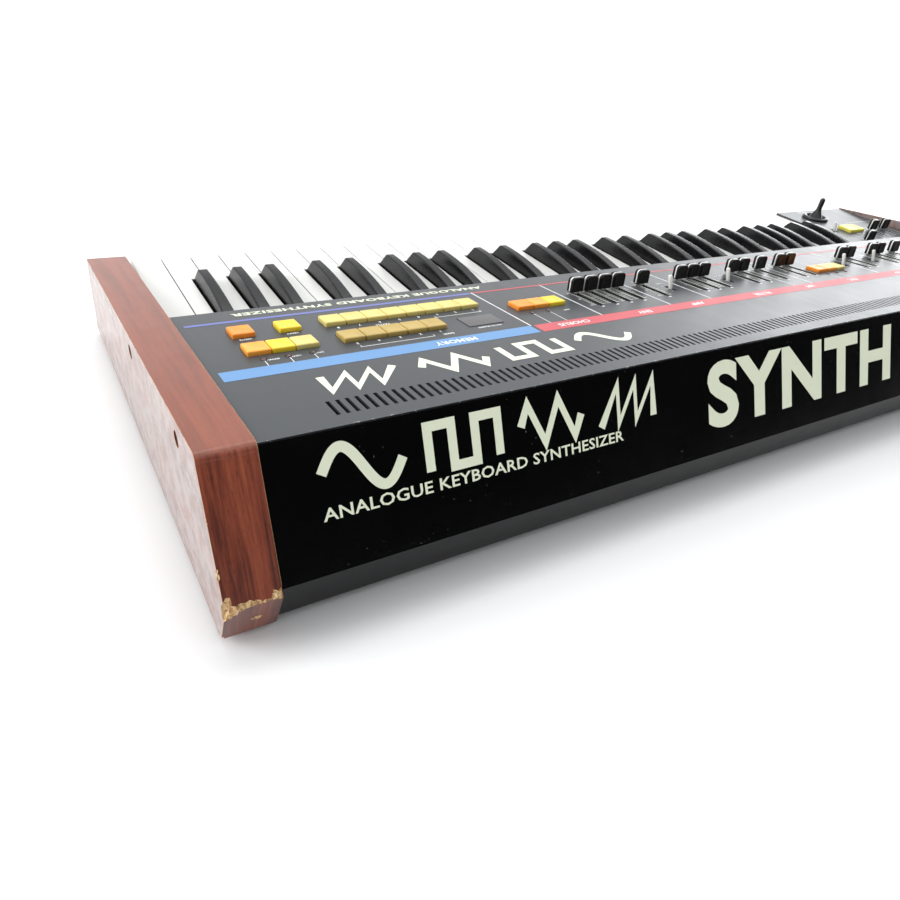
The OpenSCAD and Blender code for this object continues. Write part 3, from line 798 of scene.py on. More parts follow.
def stone(centre, size, seed):
    """A lumpy ball: a sphere on a grid of two angles whose radius is shifted by a few waves."""
    rows, columns = 18, 28
    polar = np.linspace(0.08, math.pi - 0.08, rows)[:, None]
    turn = np.linspace(0, 2 * math.pi, columns, endpoint=False)[None, :]
    waves = np.random.default_rng(seed).uniform(0, 2 * math.pi, 6)
    lumps = (1 + 0.16 * np.sin(5 * turn + waves[0] + 3 * polar) + 0.12 * np.sin(9 * turn - waves[1])
             * np.sin(6 * polar + waves[2]) + 0.08 * np.sin(14 * turn + waves[3] + 9 * polar))
    rings = np.stack([lumps * np.sin(polar) * np.cos(turn), lumps * np.sin(polar) * np.sin(turn),
                      -lumps * np.cos(polar)], -1)
    points, faces = skin(rings)
    return points * np.asarray(size) + np.asarray(centre), faces


def grain_map(mesh):
    """Writes the UV map called grain: along and across the grain of the face that each corner
    belongs to, with every face direction moved to its own part of the pattern."""
    corners = np.empty(len(mesh.loops), np.int32)
    mesh.loops.foreach_get("vertex_index", corners)
    flat = np.empty(len(mesh.vertices) * 3, np.float32)
    mesh.vertices.foreach_get("co", flat)
    place = flat.reshape(-1, 3)[corners]
    normals = np.empty(len(mesh.polygons) * 3, np.float32)
    mesh.polygons.foreach_get("normal", normals)
    totals = np.empty(len(mesh.polygons), np.int32)
    mesh.polygons.foreach_get("loop_total", totals)
    facing = np.repeat(np.abs(normals.reshape(-1, 3)), totals, axis=0)
    side = facing[:, 0] > 0.7
    upright = ~side & (facing[:, 1] > 0.75)
    along = np.where(upright, place[:, 2] * 1.12, place[:, 1])
    across = np.where(side, place[:, 2] + 3.0, place[:, 0] + np.where(upright, 7.0, 0.0))
    layer = mesh.uv_layers.new(name="grain")
    layer.data.foreach_set("uv", np.stack([along, across], -1).astype(np.float32).ravel())


# %% Cut and finish both cheeks


def knocked_cheek(node, stones):
    """A veneered cheek with stones, pairs of a centre and half sizes in millimetres, cut away."""
    piece = rounded_copy(node, ROSEWOOD, 1.3, 2, ROSEWOOD_EDGE, node + "_veneered")
    piece.modifiers.remove(piece.modifiers["flat faces"])
    cutters = []
    for index, (centre, size) in enumerate(stones):
        cutter = make_piece(f"{node}_stone_{index}", stone(centre, size, 31 + index), CHIPBOARD,
                            "casing")
        cutter.data.transform(Matrix.Scale(MM, 4))
        knock = piece.modifiers.new("knock", "BOOLEAN")
        knock.object = cutter
        knock.operation = "DIFFERENCE"
        knock.solver = "EXACT"
        knock.material_mode = "TRANSFER"
        cutters.append(cutter)
    bpy.context.view_layer.update()
    evaluated = piece.evaluated_get(bpy.context.evaluated_depsgraph_get())
    final = bpy.data.meshes.new_from_object(evaluated)
    piece.modifiers.clear()
    piece.data = final
    grain_map(final)
    final.set_sharp_from_angle(angle=math.radians(42))
    piece.modifiers.new("flat faces", "WEIGHTED_NORMAL").keep_sharp = True
    for cutter in cutters:
        bpy.data.objects.remove(cutter)
    indices = np.empty(len(final.polygons), np.int32)
    final.polygons.foreach_get("material_index", indices)
    print(node, "faces of each finish:", dict(zip([m.name for m in final.materials],
                                                  np.bincount(indices).tolist())))
    return piece


cheek_low, cheek_high = (np.array(corner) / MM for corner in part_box("right_cheek"))
outer, inner = cheek_high[0], cheek_low[0]
rear_y, chamfer_z = round(cheek_high[1], 2), 37.0
knocks = [
    ((outer + 1.2, rear_y + 1.0, chamfer_z - 3), (8.5, 6.0, 13.0)),
    ((outer - 8, rear_y + 2.4, chamfer_z + 1.5), (10.0, 4.0, 5.0)),
    ((outer - 17, rear_y + 2.0, chamfer_z + 0.5), (7.0, 2.9, 3.2)),
    ((inner + 1.0, rear_y + 1.2, chamfer_z + 3), (5.0, 3.6, 6.5)),
    ((outer + 1.2, rear_y - 8.2, chamfer_z + 19), (2.4, 2.6, 5.5)),
    ((outer + 0.9, rear_y - 19.5, chamfer_z + 43), (1.7, 1.8, 3.4)),
    ((outer - 12, 159.5, 105.6), (2.6, 1.4, 1.3)),
    ((outer + 0.7, 178, 5.5), (2.4, 3.4, 2.2)),
    ((outer - 17, 183, 19.5), (3.0, 1.5, 2.0)),
]
knocked_cheek("right_cheek", knocks)
left_knocks = [
    ((-outer - 1.2, rear_y + 1.4, chamfer_z + 2), (4.0, 3.4, 5.5)),
    ((-outer - 0.9, -189.6, 7.0), (2.6, 3.0, 4.4)),
]
knocked_cheek("left_cheek", left_knocks)
dress("cheek_screws", SCREW_BLACK)
rounded_copy("feet", RUBBER, 0.6, 2)

# %% [markdown]
# ## Sheet parts
# The control panel has nearly two hundred openings, so it stays as the CAD node with a new finish,
# and so do the rear panel and the bender plate. The chassis and the front rail are folded from
# sheet, and their folds are round.

# %% Casing sheets and inner parts
dress("top_panel", CHARCOAL)
dress("rear_panel", GLOSS_BLACK)
rounded_copy("bottom_chassis", CHASSIS_BLACK, 0.5, 2)
rounded_copy("front_rail", CHASSIS_BLACK, 0.4, 2)
dress("bender_panel", CHARCOAL)
for node, material in {
    "keybed_frame": ZINC, "slider_bodies": FELT_AND_SHADE_BLACK, "transformer": CORE_STEEL,
    "contact_board": BOARD_GREEN, "panel_board": BOARD_GREEN, "main_board": BOARD_GREEN,
}.items():
    dress(node, material)
print("plain CAD nodes dressed")

# %% [markdown]
# ## Keys
# White keys are mouldings with a fine round edge, so the row reads as separate keys by the thin
# bright and dark lines between them; the dark lines are helped by painted shade low on the key
# sides. Black keys have a far larger round.

# %% Rounded keys on their own bodies
for note in ("c", "d", "e", "f", "g", "a", "b"):
    rounded_copy(note + "_keys", WHITE_KEY, 0.55, 3)
for note in ("c", "d", "f", "g", "a"):
    rounded_copy(note + "_sharp_keys", BLACK_KEY, 1.7, 4)
print("key groups rounded: 12")

# %% [markdown]
# ## Push buttons
# A button is a square soft-edged cap with a shallow hollow for the finger. Its plan and height
# are those of the CAD solid it stands for. Buttons that share a CAD node but not a colour become
# separate pieces on the same body.

# %% Coloured button caps


def buttons(node, colours, seat=panel, dish=0.35):
    """Makes one piece for each colour of a node's buttons, which are counted along X."""
    boxes = loose_boxes(node, seat)
    for colour in dict.fromkeys(colours):
        chosen = [box for box, own in zip(boxes, colours) if own == colour]
        shapes = [soft_block(low * (1, 1, 0) + (0, 0, -1.4), high, 0.9, 0.9, dish)
                  for low, high in chosen]
        piece = make_piece(f"{node}_{colour}_caps", placed(joined(shapes), seat), BUTTON[colour],
                           node, replaces=(node,), crease=60)
        print(piece.name, len(chosen))


buttons("patch_buttons", ["cream"] * 8)
buttons("bank_buttons", ["tan"] * 5)
buttons("memory_buttons", ["yellow", "cream", "yellow", "orange", "amber"])
buttons("chorus_buttons", ["yellow", "amber", "orange"])
buttons("voice_buttons", ["orange", "yellow", "cream", "cream", "amber", "orange"])
buttons("trigger_button", ["lemon"], seat=plate, dish=0.5)

# %% [markdown]
# ## Slider caps
# A cap is a black slab that straddles a thin steel stem. A white line runs round it at the middle
# of its thickness, so the setting can be read from the scale at either side. The slab is two
# halves with a slight waist for the fingers, and the line is a thin white blade that fills the
# groove between them.

# %% Two-part slider caps


CAP_CORNERS = (3.0, 3.0, 0.8, 0.8)
BLADE = 1.0


def cap_shapes(low, high, gap):
    """Two halves and the blade between them. Each is the cap's front outline, a rectangle with
    round top corners, carried along the depth and rounded off at the outer face."""
    middle = (low + high) / 2
    reach = (high[1] - low[1]) / 2
    left, right = (low[0] - middle[0], gap), (high[0] - middle[0], high[2])
    inward = np.array([0.9, 2.0, 3.6, 5.4])
    hollow = np.stack([inward, reach - 0.35 * ((inward - 0.9) / 4.5) ** 0.6], -1)
    profile = np.concatenate([[[0.2, BLADE / 2], [0.0, BLADE / 2 + 0.2]],
                              edge_round(0.9, reach, 4), hollow[1:]])
    rings = block_rings(left, right, CAP_CORNERS, profile, 5)
    points, faces = skin(rings)
    front = points[:, [0, 2, 1]] * (1, -1, 1) + (middle[0], middle[1], 0)
    behind = points[:, [0, 2, 1]] * (-1, 1, 1) + (middle[0], middle[1], 0)
    edge = [[0.05, -BLADE / 2 - 0.1], [0.05, BLADE / 2 + 0.1]]
    blade_points, blade_faces = skin(block_rings(left, right, CAP_CORNERS, edge, 5))
    blade_points = blade_points[:, [0, 2, 1]] * (1, -1, 1) + (middle[0], middle[1], 0)
    return joined([(front, faces), (behind, faces)]), (blade_points, blade_faces)


def stem_shape(low, high, gap):
    """The flat steel stem from the cap down through the slot."""
    middle = (low[:2] + high[:2]) / 2
    return soft_block(np.array([middle[0] - 0.8, middle[1] - 3, low[2]]),
                      np.array([middle[0] + 0.8, middle[1] + 3, gap + 0.6]), 0.3, 0.2, 0.0, 2)


def slider_cap(node, seat, gap=1.5):
    """Grip, index line and stem of every cap of a node; gap is the space under the grip."""
    boxes = loose_boxes(node, seat)
    grips, blades, stems = [], [], []
    for low, high in boxes:
        grip, blade = cap_shapes(low, high, gap)
        grips.append(grip)
        blades.append(blade)
        stems.append(stem_shape(low, high, gap))
    body = nodes[node]["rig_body"]
    make_piece(node + "_grip", placed(joined(grips), seat), CAP_BLACK, body,
               replaces=(node,), crease=60)
    make_piece(node + "_index_line", placed(joined(blades), seat), INDEX_WHITE, body)
    make_piece(node + "_stem", placed(joined(stems), seat), SLIDER_METAL, body)


cap_nodes = [name for name in nodes if name.endswith("_cap")]
for name in cap_nodes:
    slider_cap(name, panel)
slider_cap("left_slider_caps", plate)
print("slider caps:", len(cap_nodes) + 3)

# %% [markdown]
# ## Lever switches, lamps and the display window
# The small slide switches end in a plain white stick with a domed tip. It leans, so it is built in
# a seat that is tilted about X and read back from the CAD solid.

# %% White switch sticks


def tilted(seat, degrees):
    """A seat turned about its own first direction."""
    turn = math.radians(degrees)
    across, along, out = seat.axes
    return Seat(seat.origin, across, along * math.cos(turn) + out * math.sin(turn))


def sticks(node, seat, lean):
    """Domed sticks where the node's solids are, in a seat that leans with them."""
    leaning = tilted(seat, lean)
    shapes = []
    for low, high in loose_boxes(node, leaning):
        shapes.append(soft_block(low, high, 1.0, 1.1, 0.0, 4))
    make_piece(node + "_sticks", placed(joined(shapes), leaning), SWITCH_WHITE, node,
               replaces=(node,), crease=60)
    print(node, "sticks:", len(shapes))


SWITCH_LEAN = 16
SWITCH_Y = 36
sticks("panel_switches", panel, SWITCH_LEAN)
sticks("bender_switch", plate, SWITCH_LEAN)

# %% Lamp domes with their black bezels


def lamp_shape(low, high):
    """A dome of a quarter circle over a short barrel."""
    radius = (high[0] - low[0]) / 2
    rise = np.linspace(0, math.pi / 2 - 0.12, 6)
    top = high[2]
    dome = np.stack([radius * np.cos(rise), top - 1.0 + 1.0 * np.sin(rise)], -1)
    profile = np.concatenate([[[radius, low[2]]], dome])
    middle = (low + high) / 2
    points, faces = turned(profile, 20)
    return points + (middle[0], middle[1], 0), faces


def bezel_shape(low, high):
    """A thin moulded ring round the lamp, round in section."""
    middle = (low + high) / 2
    radius = (high[0] - low[0]) / 2
    turn = np.linspace(0, 2 * math.pi, 9)[:-1]
    section = np.stack([radius + 0.50 + 0.34 * np.cos(turn), 0.05 + 0.34 * np.sin(turn)], -1)
    points, faces = turned(section, 24, hollow=True)
    return points + (middle[0], middle[1], 0), faces


lamps = loose_boxes("led_lamps", panel)
make_piece("lamp_domes", placed(joined([lamp_shape(*box) for box in lamps]), panel), LAMP_RED,
           "casing", replaces=("led_lamps",), crease=50)
make_piece("lamp_bezels", placed(joined([bezel_shape(*box) for box in lamps]), panel),
           SWITCH_BLACK, "casing", crease=50)
rounded_copy("display_window", RED_LENS, 0.3, 2)
print("lamps:", len(lamps))

# %% [markdown]
# ## Bender
# The bender is a ball that turns in an oval collar, with a flared neck and a stick that ends in a
# soft point. Ball, neck and stick are one turned profile: an arc for the ball, a power curve for
# the flare, and a quarter circle for the tip. The collar is a ring whose section is a flattened
# circle, swept round an oval.

# %% Lever and collar


def lever_profile(low, high):
    """Radius and height along the lever: most of a ball, the flare, the stick, a round tip."""
    ball = (high[0] - low[0]) / 2
    ball_z = low[2] + ball
    arc = np.linspace(-math.pi / 2 + 0.15, math.radians(42), 14)
    round_part = np.stack([ball * np.cos(arc), ball_z + ball * np.sin(arc)], -1)
    share = np.linspace(0, 1, 8)[1:]
    neck_top = ball_z + 19
    flare = np.stack([3.4 + (round_part[-1, 0] - 3.4) * (1 - share) ** 1.3,
                      round_part[-1, 1] + (neck_top - round_part[-1, 1]) * share], -1)
    waist = np.array([[3.25, neck_top + 4], [3.4, high[2] - 9]])
    tip = np.linspace(0, math.pi / 2 - 0.1, 6)
    knob = np.stack([3.4 * np.cos(tip), high[2] - 3.4 + 3.4 * np.sin(tip)], -1)
    return np.concatenate([round_part, flare, waist, knob])


lever_low, lever_high = loose_boxes("bender_lever", plate)[0]
lever_middle = (lever_low + lever_high) / 2
lever_points, lever_faces = turned(lever_profile(lever_low, lever_high), 40)
lever_points = lever_points + (lever_middle[0], lever_middle[1], 0)
make_piece("bender_lever_stick", placed((lever_points, lever_faces), plate), LEVER_BLACK,
           "bender_lever", replaces=("bender_lever",), crease=60)

section_turn = np.linspace(0, 2 * math.pi, 17)[:-1]
collar_section = np.stack([15.6 + 3.0 * np.cos(section_turn), 1.2 + 2.6 * np.sin(section_turn)], -1)
collar_points, collar_faces = turned(collar_section, 56, squash=0.9, hollow=True)
collar_points = collar_points + (lever_middle[0], lever_middle[1], 0)
make_piece("bender_collar", placed((collar_points, collar_faces), plate), LEVER_BLACK, "casing",
           crease=60)
print("lever reaches", round(lever_high[2], 1), "mm above its plate")

# %% [markdown]
# ## Rear connectors
# Phone sockets show a threaded nickel bush and a six-sided nut, over a black washer. The thread is
# a profile of small waves turned round the axis. The mains lead would pass the round gland, and
# the power switch is a push cap with a hollow face.

# %% Sockets, gland and power switch
sockets = loose_boxes("rear_sockets", rear)
BORE = 3.2
BUSH = 4.7


def threaded_bush(low, high):
    """A hollow bush whose outside is a row of small waves, turned round the socket's axis."""
    middle = (low + high) / 2
    reach = np.linspace(1.6, high[2] - 0.35, 27)
    wave = BUSH - 0.18 + 0.18 * np.cos(reach * 2 * math.pi / 0.75)
    outside = np.stack([wave, reach], -1)
    mouth = [[BUSH - 0.6, high[2]], [BORE + 0.5, high[2]], [BORE + 0.05, high[2] - 0.6]]
    inside = [[BORE + 0.05, -2.0], [BUSH - 0.2, -2.0]]
    points, faces = turned(np.concatenate([outside, mouth, inside]), 36, hollow=True)
    return points + (middle[0], middle[1], 0), faces


def washer(low, high):
    """A flat ring under the nut."""
    middle = (low + high) / 2
    section = np.array([[7.6, 0.02], [7.6, 0.35], [7.4, 0.5],
                        [BUSH + 0.1, 0.5], [BUSH + 0.1, 0.02]])
    points, faces = turned(section, 36, hollow=True)
    return points + (middle[0], middle[1], 0), faces


rounded_copy("rear_sockets", SOCKET_METAL, 0.3, 2)
make_piece("socket_threads", placed(joined([threaded_bush(*box) for box in sockets]), rear),
           SOCKET_METAL, "casing", crease=50)
make_piece("socket_washers", placed(joined([washer(*box) for box in sockets]), rear),
           SWITCH_BLACK, "casing")
rounded_copy("cord_gland", RUBBER, 0.5, 2)
power_boxes = loose_boxes("power_switch", rear)
rocker = [soft_block(low * (1, 1, 0) + (0, 0, -11.5), high, 1.2, 1.0, 0.8)
          for low, high in power_boxes[:1]]
make_piece("power_switch_rocker", placed(joined(rocker), rear), SWITCH_BLACK, "power_switch",
           replaces=("power_switch",), crease=60)
print("sockets:", len(sockets))

# %% [markdown]
# ## Screen printing
# The scales, bands, frames and words are printed with thick ink, a different screen for each
# colour. Here each screen becomes a few thin raised meshes. Bars are flat boxes, curves are
# ribbons of one width, and words are the built-in font turned into a mesh. All of them are drawn
# in the millimetres of the sheet that they lie on.

# %% Bars and ribbons of ink
INK = 0.10
SUNK = -0.05


def bars(rectangles, thickness=INK):
    """Flat boxes from (left, low, right, high) rows, all at once."""
    box = np.asarray(rectangles, float).reshape(-1, 4)
    xs = box[:, [0, 2, 2, 0, 0, 2, 2, 0]]
    ys = box[:, [1, 1, 3, 3, 1, 1, 3, 3]]
    zs = np.broadcast_to([SUNK] * 4 + [thickness] * 4, xs.shape)
    points = np.stack([xs, ys, zs], -1).reshape(-1, 3)
    sides = np.array([[3, 2, 1, 0], [4, 5, 6, 7], [0, 1, 5, 4], [1, 2, 6, 5], [2, 3, 7, 6],
                      [3, 0, 4, 7]])
    faces = (np.arange(len(box))[:, None, None] * 8 + sides).reshape(-1, 4)
    return points, [faces]


def ribbon(line, width, thickness=INK):
    """A flat strip of one width along a line of points: each point is moved both ways along the
    bisector of its two neighbours' normals, and further at a corner so that the width holds."""
    line = np.asarray(line, float)
    steps = np.diff(line, axis=0)
    steps /= np.linalg.norm(steps, axis=1, keepdims=True)
    normal = np.stack([-steps[:, 1], steps[:, 0]], -1)
    before = np.vstack([normal[:1], normal])
    after = np.vstack([normal, normal[-1:]])
    bisector = before + after
    bisector /= np.linalg.norm(bisector, axis=1, keepdims=True)
    reach = width / 2 / np.maximum(np.sum(bisector * after, axis=1, keepdims=True), 0.55)
    left, right = line + bisector * reach, line - bisector * reach
    low, high = np.full((len(line), 1), SUNK), np.full((len(line), 1), thickness)
    rings = np.stack([np.hstack([right, low]), np.hstack([left, low]), np.hstack([left, high]),
                      np.hstack([right, high])], 1)
    points, faces = skin(rings)
    return points, faces


def flipped(shape):
    """The shape turned half a turn in its own plane, to be read from the other side."""
    return shape[0] * (-1, -1, 1), shape[1]


def shifted(shape, x, y):
    """The shape moved in its own plane."""
    return shape[0] + (x, y, 0.0), shape[1]


# %% Words
PLAIN = 0.01


def words(text, height, centre, bold=PLAIN, width=None, turned_round=False):
    """A word as a thin solid: the built-in font is filled and extruded, welded, then scaled so
    that its box has the height and, if given, the width, and is centred."""
    curve = bpy.data.curves.new("word", "FONT")
    curve.body = text
    curve.resolution_u = 2 if height < 8 else 5
    curve.offset = bold
    curve.extrude = 0.05
    curve.space_character = 1.0 + bold * 2
    source = bpy.data.objects.new("word", curve)
    bpy.context.scene.collection.objects.link(source)
    bpy.context.view_layer.update()
    mesh = bpy.data.meshes.new_from_object(
        source.evaluated_get(bpy.context.evaluated_depsgraph_get()))
    tool = bmesh.new()
    tool.from_mesh(mesh)
    bmesh.ops.remove_doubles(tool, verts=tool.verts, dist=1e-5)
    tool.to_mesh(mesh)
    tool.free()
    points = np.array([vertex.co for vertex in mesh.vertices], float)
    sizes = {len(face.vertices) for face in mesh.polygons}
    faces = [np.array([face.vertices[:] for face in mesh.polygons if len(face.vertices) == size])
             for size in sizes]
    bpy.data.objects.remove(source)
    bpy.data.curves.remove(curve)
    bpy.data.meshes.remove(mesh)
    low, high = points.min(0), points.max(0)
    scale = height / (high[1] - low[1])
    stretch = width / (high[0] - low[0]) if width else scale
    flat = (points - (low + high) / 2) * (stretch, scale, 1)
    flat[:, 2] = np.where(flat[:, 2] > 0, INK, SUNK)
    shape = flipped((flat, faces)) if turned_round else (flat, faces)
    return shifted(shape, *centre)


print("a word has", len(words("SINE", 3.0, (0, 0))[0]), "points")

# %% [markdown]
# ## Waveforms
# The big marks on the rear and on the panel are the four basic waveforms, which any synthesizer
# makes: sine, square, triangle and saw. Each is one to three periods of its own wave, drawn with a
# broad pen.

# %% Four waveforms in a row


def waveform_lines(width, height):
    """A sine wave, one and a half square waves, two triangle waves and three saw teeth, each in
    a box of the same width and height."""
    sine_x = np.linspace(0, 1, 65)
    sine = np.stack([sine_x, 0.5 + 0.5 * np.sin(2 * math.pi * sine_x)], -1)
    square = np.array([[0, 0], [0, 1], [0.33, 1], [0.33, 0], [0.66, 0], [0.66, 1], [1, 1], [1, 0]])
    triangle = np.array([[0, 0.5], [0.125, 1], [0.375, 0], [0.625, 1], [0.875, 0], [1, 0.5]])
    saw = np.array([[0, 0], [0.33, 1], [0.33, 0], [0.66, 1], [0.66, 0], [1, 1], [1, 0]])
    return [line * (width, height) for line in (sine, square, triangle, saw)]


def waveform_row(left, low, right, high, pen):
    """The four waves side by side in a box, with a gap of a fifth of a wave between them."""
    span = (right - left) / 4.6
    width = span - pen
    height = high - low - pen
    shapes = []
    for index, line in enumerate(waveform_lines(width, height)):
        start = left + index * span * 1.2 + pen / 2
        shapes.append(ribbon(line + (start, low + pen / 2), pen))
    return joined(shapes)


# %% [markdown]
# ## Rear print
# The rear carries the waveforms with a plain line of words under them, and one large word. They
# are read from behind, so everything is turned half a turn in the plane of the sheet.

# %% Rear print in cream ink


def rear_down(z):
    """Distance down the rear panel to a height above the table."""
    return (rear_top_z - z) / rear_out[1]


rear_marks = [
    flipped(waveform_row(-475.5, -rear_down(72.6), -239.5, -rear_down(99.6), 5.6)),
    words("ANALOGUE KEYBOARD SYNTHESIZER", 6.9, (372.5, rear_down(67.8)), 0.014, 205, True),
    words("SYNTH", 47.5, (73, rear_down(77)), 0.035, 232, True),
]
for x, label in zip([box[0][0] + 7.5 for box in sockets],
                    ["OUT R", "OUT L", "CLOCK", "HOLD", "PATCH", "PHONES"][::-1]):
    rear_marks.append(words(label, 2.9, (x, 21.5), 0.008, turned_round=True))
rear_marks.append(words("POWER", 2.9, ((power_boxes[0][0][0] + power_boxes[0][1][0]) / 2, 21.5),
                        0.008, turned_round=True))
make_piece("rear_print", placed(joined(rear_marks), rear), CREAM_INK, "casing", crease=50)
print("rear print shapes:", len(rear_marks))

# %% [markdown]
# ## Painted shade under the vents
# Behind the row of vents lies a flat black sheet, painted shade standing in for the dark inside
# of the casing, so the slots look black from outside.

# %% Painted shade sheet under the vents
VENT_ROW = (125.0, 141.5)
SHADE_SPARE = 1.5
SHADE_REACH = 458
SHADE_DEPTH = 2.0
vent_shade_low = panel_y(VENT_ROW[0]) - SHADE_SPARE
vent_shade_high = panel_y(VENT_ROW[0]) + VENT_ROW[1] - VENT_ROW[0] + SHADE_SPARE
vent_shade_sheet = bars([[-SHADE_REACH, vent_shade_low, SHADE_REACH, vent_shade_high]])
make_piece("vent_painted_shade", placed(vent_shade_sheet, panel.moved(0, 0, -SHADE_DEPTH)), FELT_AND_SHADE_BLACK, "casing")

# %% [markdown]
# ## Panel print
# A blue band heads the memory block and a red one the sound controls, with a thin line of the same
# family along the front. White lines part the sections. Every slider has a ladder of short ticks
# on either side of its slot, and every button a number or a word.

# %% Bands, lines and section marks
half_width = max(abs(cad_points("top_panel")[:, 0]))
band_low, band_high = panel_y(69), panel_y(82)
line_low = panel_y(-10)
memory_x = 275
panel_left = 1 - half_width
make_piece("band_blue", placed(bars([[memory_x, band_low, 495.5, band_high]]), panel), BLUE_INK,
           "casing")
make_piece("band_red", placed(bars([[panel_left, band_low, memory_x - 3, band_high],
                                    [panel_left, line_low, memory_x - 1.5, line_low + 2.2]]),
                              panel), PINK_INK, "casing")
make_piece("line_violet", placed(bars([[memory_x + 0.8, line_low, 495.6, line_low + 3.2]]), panel),
           VIOLET_INK, "casing")

caps = {name: (loose_boxes(name, panel)[0][0] + loose_boxes(name, panel)[0][1]) / 2
        for name in cap_nodes}
cap_front = min(middle[1] for middle in caps.values())
travel = next(j for j in frame["joints"] if j["name"] == "cutoff_cap_slide")["range_m"][1] / MM
print("sliders travel", travel, "mm from", round(cap_front, 1))

# %% Slider scales
SCALE_STEPS = 11
TICK_IN, TICK_OUT = 2.4, 5.9


def ladder(x, front, rear_end, steps=SCALE_STEPS):
    """Short bars on both sides of a slot, longer at the ends and in the middle."""
    along = np.linspace(front, rear_end, steps)
    far = TICK_OUT + np.where(np.arange(steps) % ((steps - 1) // 2) == 0, 1.0, 0.0)
    near = np.full(steps, TICK_IN)
    right = np.stack([x + near, along - 0.3, x + far, along + 0.3], -1)
    left = np.stack([x - far, along - 0.3, x - near, along + 0.3], -1)
    return np.concatenate([right, left])


ladders = [ladder(middle[0], middle[1], middle[1] + travel) for middle in caps.values()]
make_piece("slider_scales", placed(bars(np.concatenate(ladders)), panel), SCALE_INK, "casing")
# Black bars along both edges of every slot: painted shade that makes the dark slot openings look
# wider.
EDGE_FRONT, EDGE_REAR, EDGE_ASIDE = 4.6, 1.5, 1.9
slot_shade_bars = [[x + side - 0.5, y - EDGE_FRONT, x + side + 0.5, y + travel + EDGE_REAR]
              for x, y, _ in caps.values() for side in (-EDGE_ASIDE, EDGE_ASIDE)]
make_piece("slot_shade_bars", placed(bars(np.array(slot_shade_bars)), panel), SLOT_SHADE, "casing")

# %% White bars: a mark behind each slot, section lines, switch positions and lamp lines
white_bars = [np.array([[x - 1.4, y + travel + 4.6, x + 1.4, y + travel + 6.0]])
              for x, y, _ in caps.values()]
switch_boxes = loose_boxes("panel_switches", panel)
switch_x = [(low[0] + high[0]) / 2 for low, high in switch_boxes]
dividers = [memory_x - 0.7, 206, 131, 82, -34, -61, -175, -233.5, -276, -352]
white_bars.append(np.array([[x - 0.45, line_low, x + 0.45, band_low] for x in dividers]))
SWITCH_STEPS = (-6.5, 0, 6.5)
for x in switch_x:
    for step in SWITCH_STEPS:
        middle_y = panel_y(SWITCH_Y) + step
        white_bars.append(np.array([[x + 3.0, middle_y - 0.2, x + 4.6, middle_y + 0.2]]))
for low, high in lamps:
    x = (low[0] + high[0]) / 2
    white_bars.append(np.array([[x - 0.22, high[1] + 0.9, x + 0.22, band_low]]))
print("white bars:", sum(len(block) for block in white_bars))

# %% Brackets, numerals and words in white


def bracket(left, right, height, drop):
    """A line with both ends turned towards the buttons."""
    return ribbon(np.array([[left, height - drop], [left, height], [right, height],
                            [right, height - drop]]), 0.5)


CAP_WORDS = {
    "attack_cap": "A", "decay_cap": "D", "sustain_cap": "S", "release_cap": "R",
    "level_cap": "LEVEL", "cutoff_cap": "FREQ", "resonance_cap": "RES",
    "filter_envelope_cap": "ENV", "filter_lfo_cap": "LFO", "key_follow_cap": "KEY",
    "high_pass_cap": "FREQ", "vibrato_cap": "LFO", "pulse_width_cap": "WIDTH",
    "sub_level_cap": "SUB", "noise_level_cap": "NOISE", "lfo_rate_cap": "RATE",
    "lfo_delay_cap": "DELAY", "arpeggio_rate_cap": "RATE",
}
FIGURED_CAPS = ("release_cap", "level_cap", "cutoff_cap", "high_pass_cap", "lfo_rate_cap",
                "noise_level_cap", "arpeggio_rate_cap", "vibrato_cap", "pulse_width_cap")
FIGURE, SMALL, CAP_WORD, MIDDLE, NUMERAL = 1.7, 1.9, 2.1, 2.3, 2.8
CAP_WORD_DROP = FIGURE_ASIDE = 7.6
white_words = []
for name, middle in caps.items():
    white_words.append(words(CAP_WORDS[name], CAP_WORD, (middle[0], middle[1] - CAP_WORD_DROP)))
    if name in FIGURED_CAPS:
        for share, figure in ((0.0, "0"), (0.5, "5"), (1.0, "10")):
            white_words.append(words(figure, FIGURE, (middle[0] + FIGURE_ASIDE,
                                                      middle[1] + travel * share)))


def button_middles(node):
    """Middle across, front edge and rear edge of each button of a node."""
    return [((low[0] + high[0]) / 2, low[1], high[1]) for low, high in loose_boxes(node, panel)]


patch_middles = button_middles("patch_buttons")
bank_middles = button_middles("bank_buttons")
for number, (x, _, rear_edge) in enumerate(patch_middles, 1):
    white_words.append(words(str(number), NUMERAL, (x, rear_edge + 3.6)))
for number, (x, _, rear_edge) in enumerate(bank_middles, 1):
    white_words.append(words(str(number), NUMERAL, (x, rear_edge + 3.2)))
white_words += [
    bracket(patch_middles[0][0] - 4, patch_middles[2][0] + 4, patch_middles[0][2] + 8.6, 2.2),
    bracket(bank_middles[0][0] + 8, bank_middles[4][0], bank_middles[0][2] + 9.4, 2.2),
    words("PATCH", MIDDLE, (patch_middles[5][0], patch_middles[0][2] + 8.2)),
    words("BANK", MIDDLE, (bank_middles[0][0] - 3, bank_middles[0][2] + 9.0)),
]
memory_words = ["VERIFY", "SAVE", "LOAD", "WRITE", "MANUAL"]
for (x, _, rear_edge), label in zip(button_middles("memory_buttons"), memory_words):
    if rear_edge > panel_y(45):
        white_words.append(words(label, SMALL, (x - 3.6, rear_edge + 8.8)))
    else:
        white_words.append(words(label, SMALL, (x, rear_edge + 3.0)))
for (x, _, rear_edge), label in zip(button_middles("chorus_buttons"), ["OFF", "1", "2"]):
    white_words.append(words(label, MIDDLE, (x, rear_edge + 10.4)))
voice_words = ["HOLD", "OCTAVE", "MODE", "WAVE 1", "WAVE 2", "SUB"]
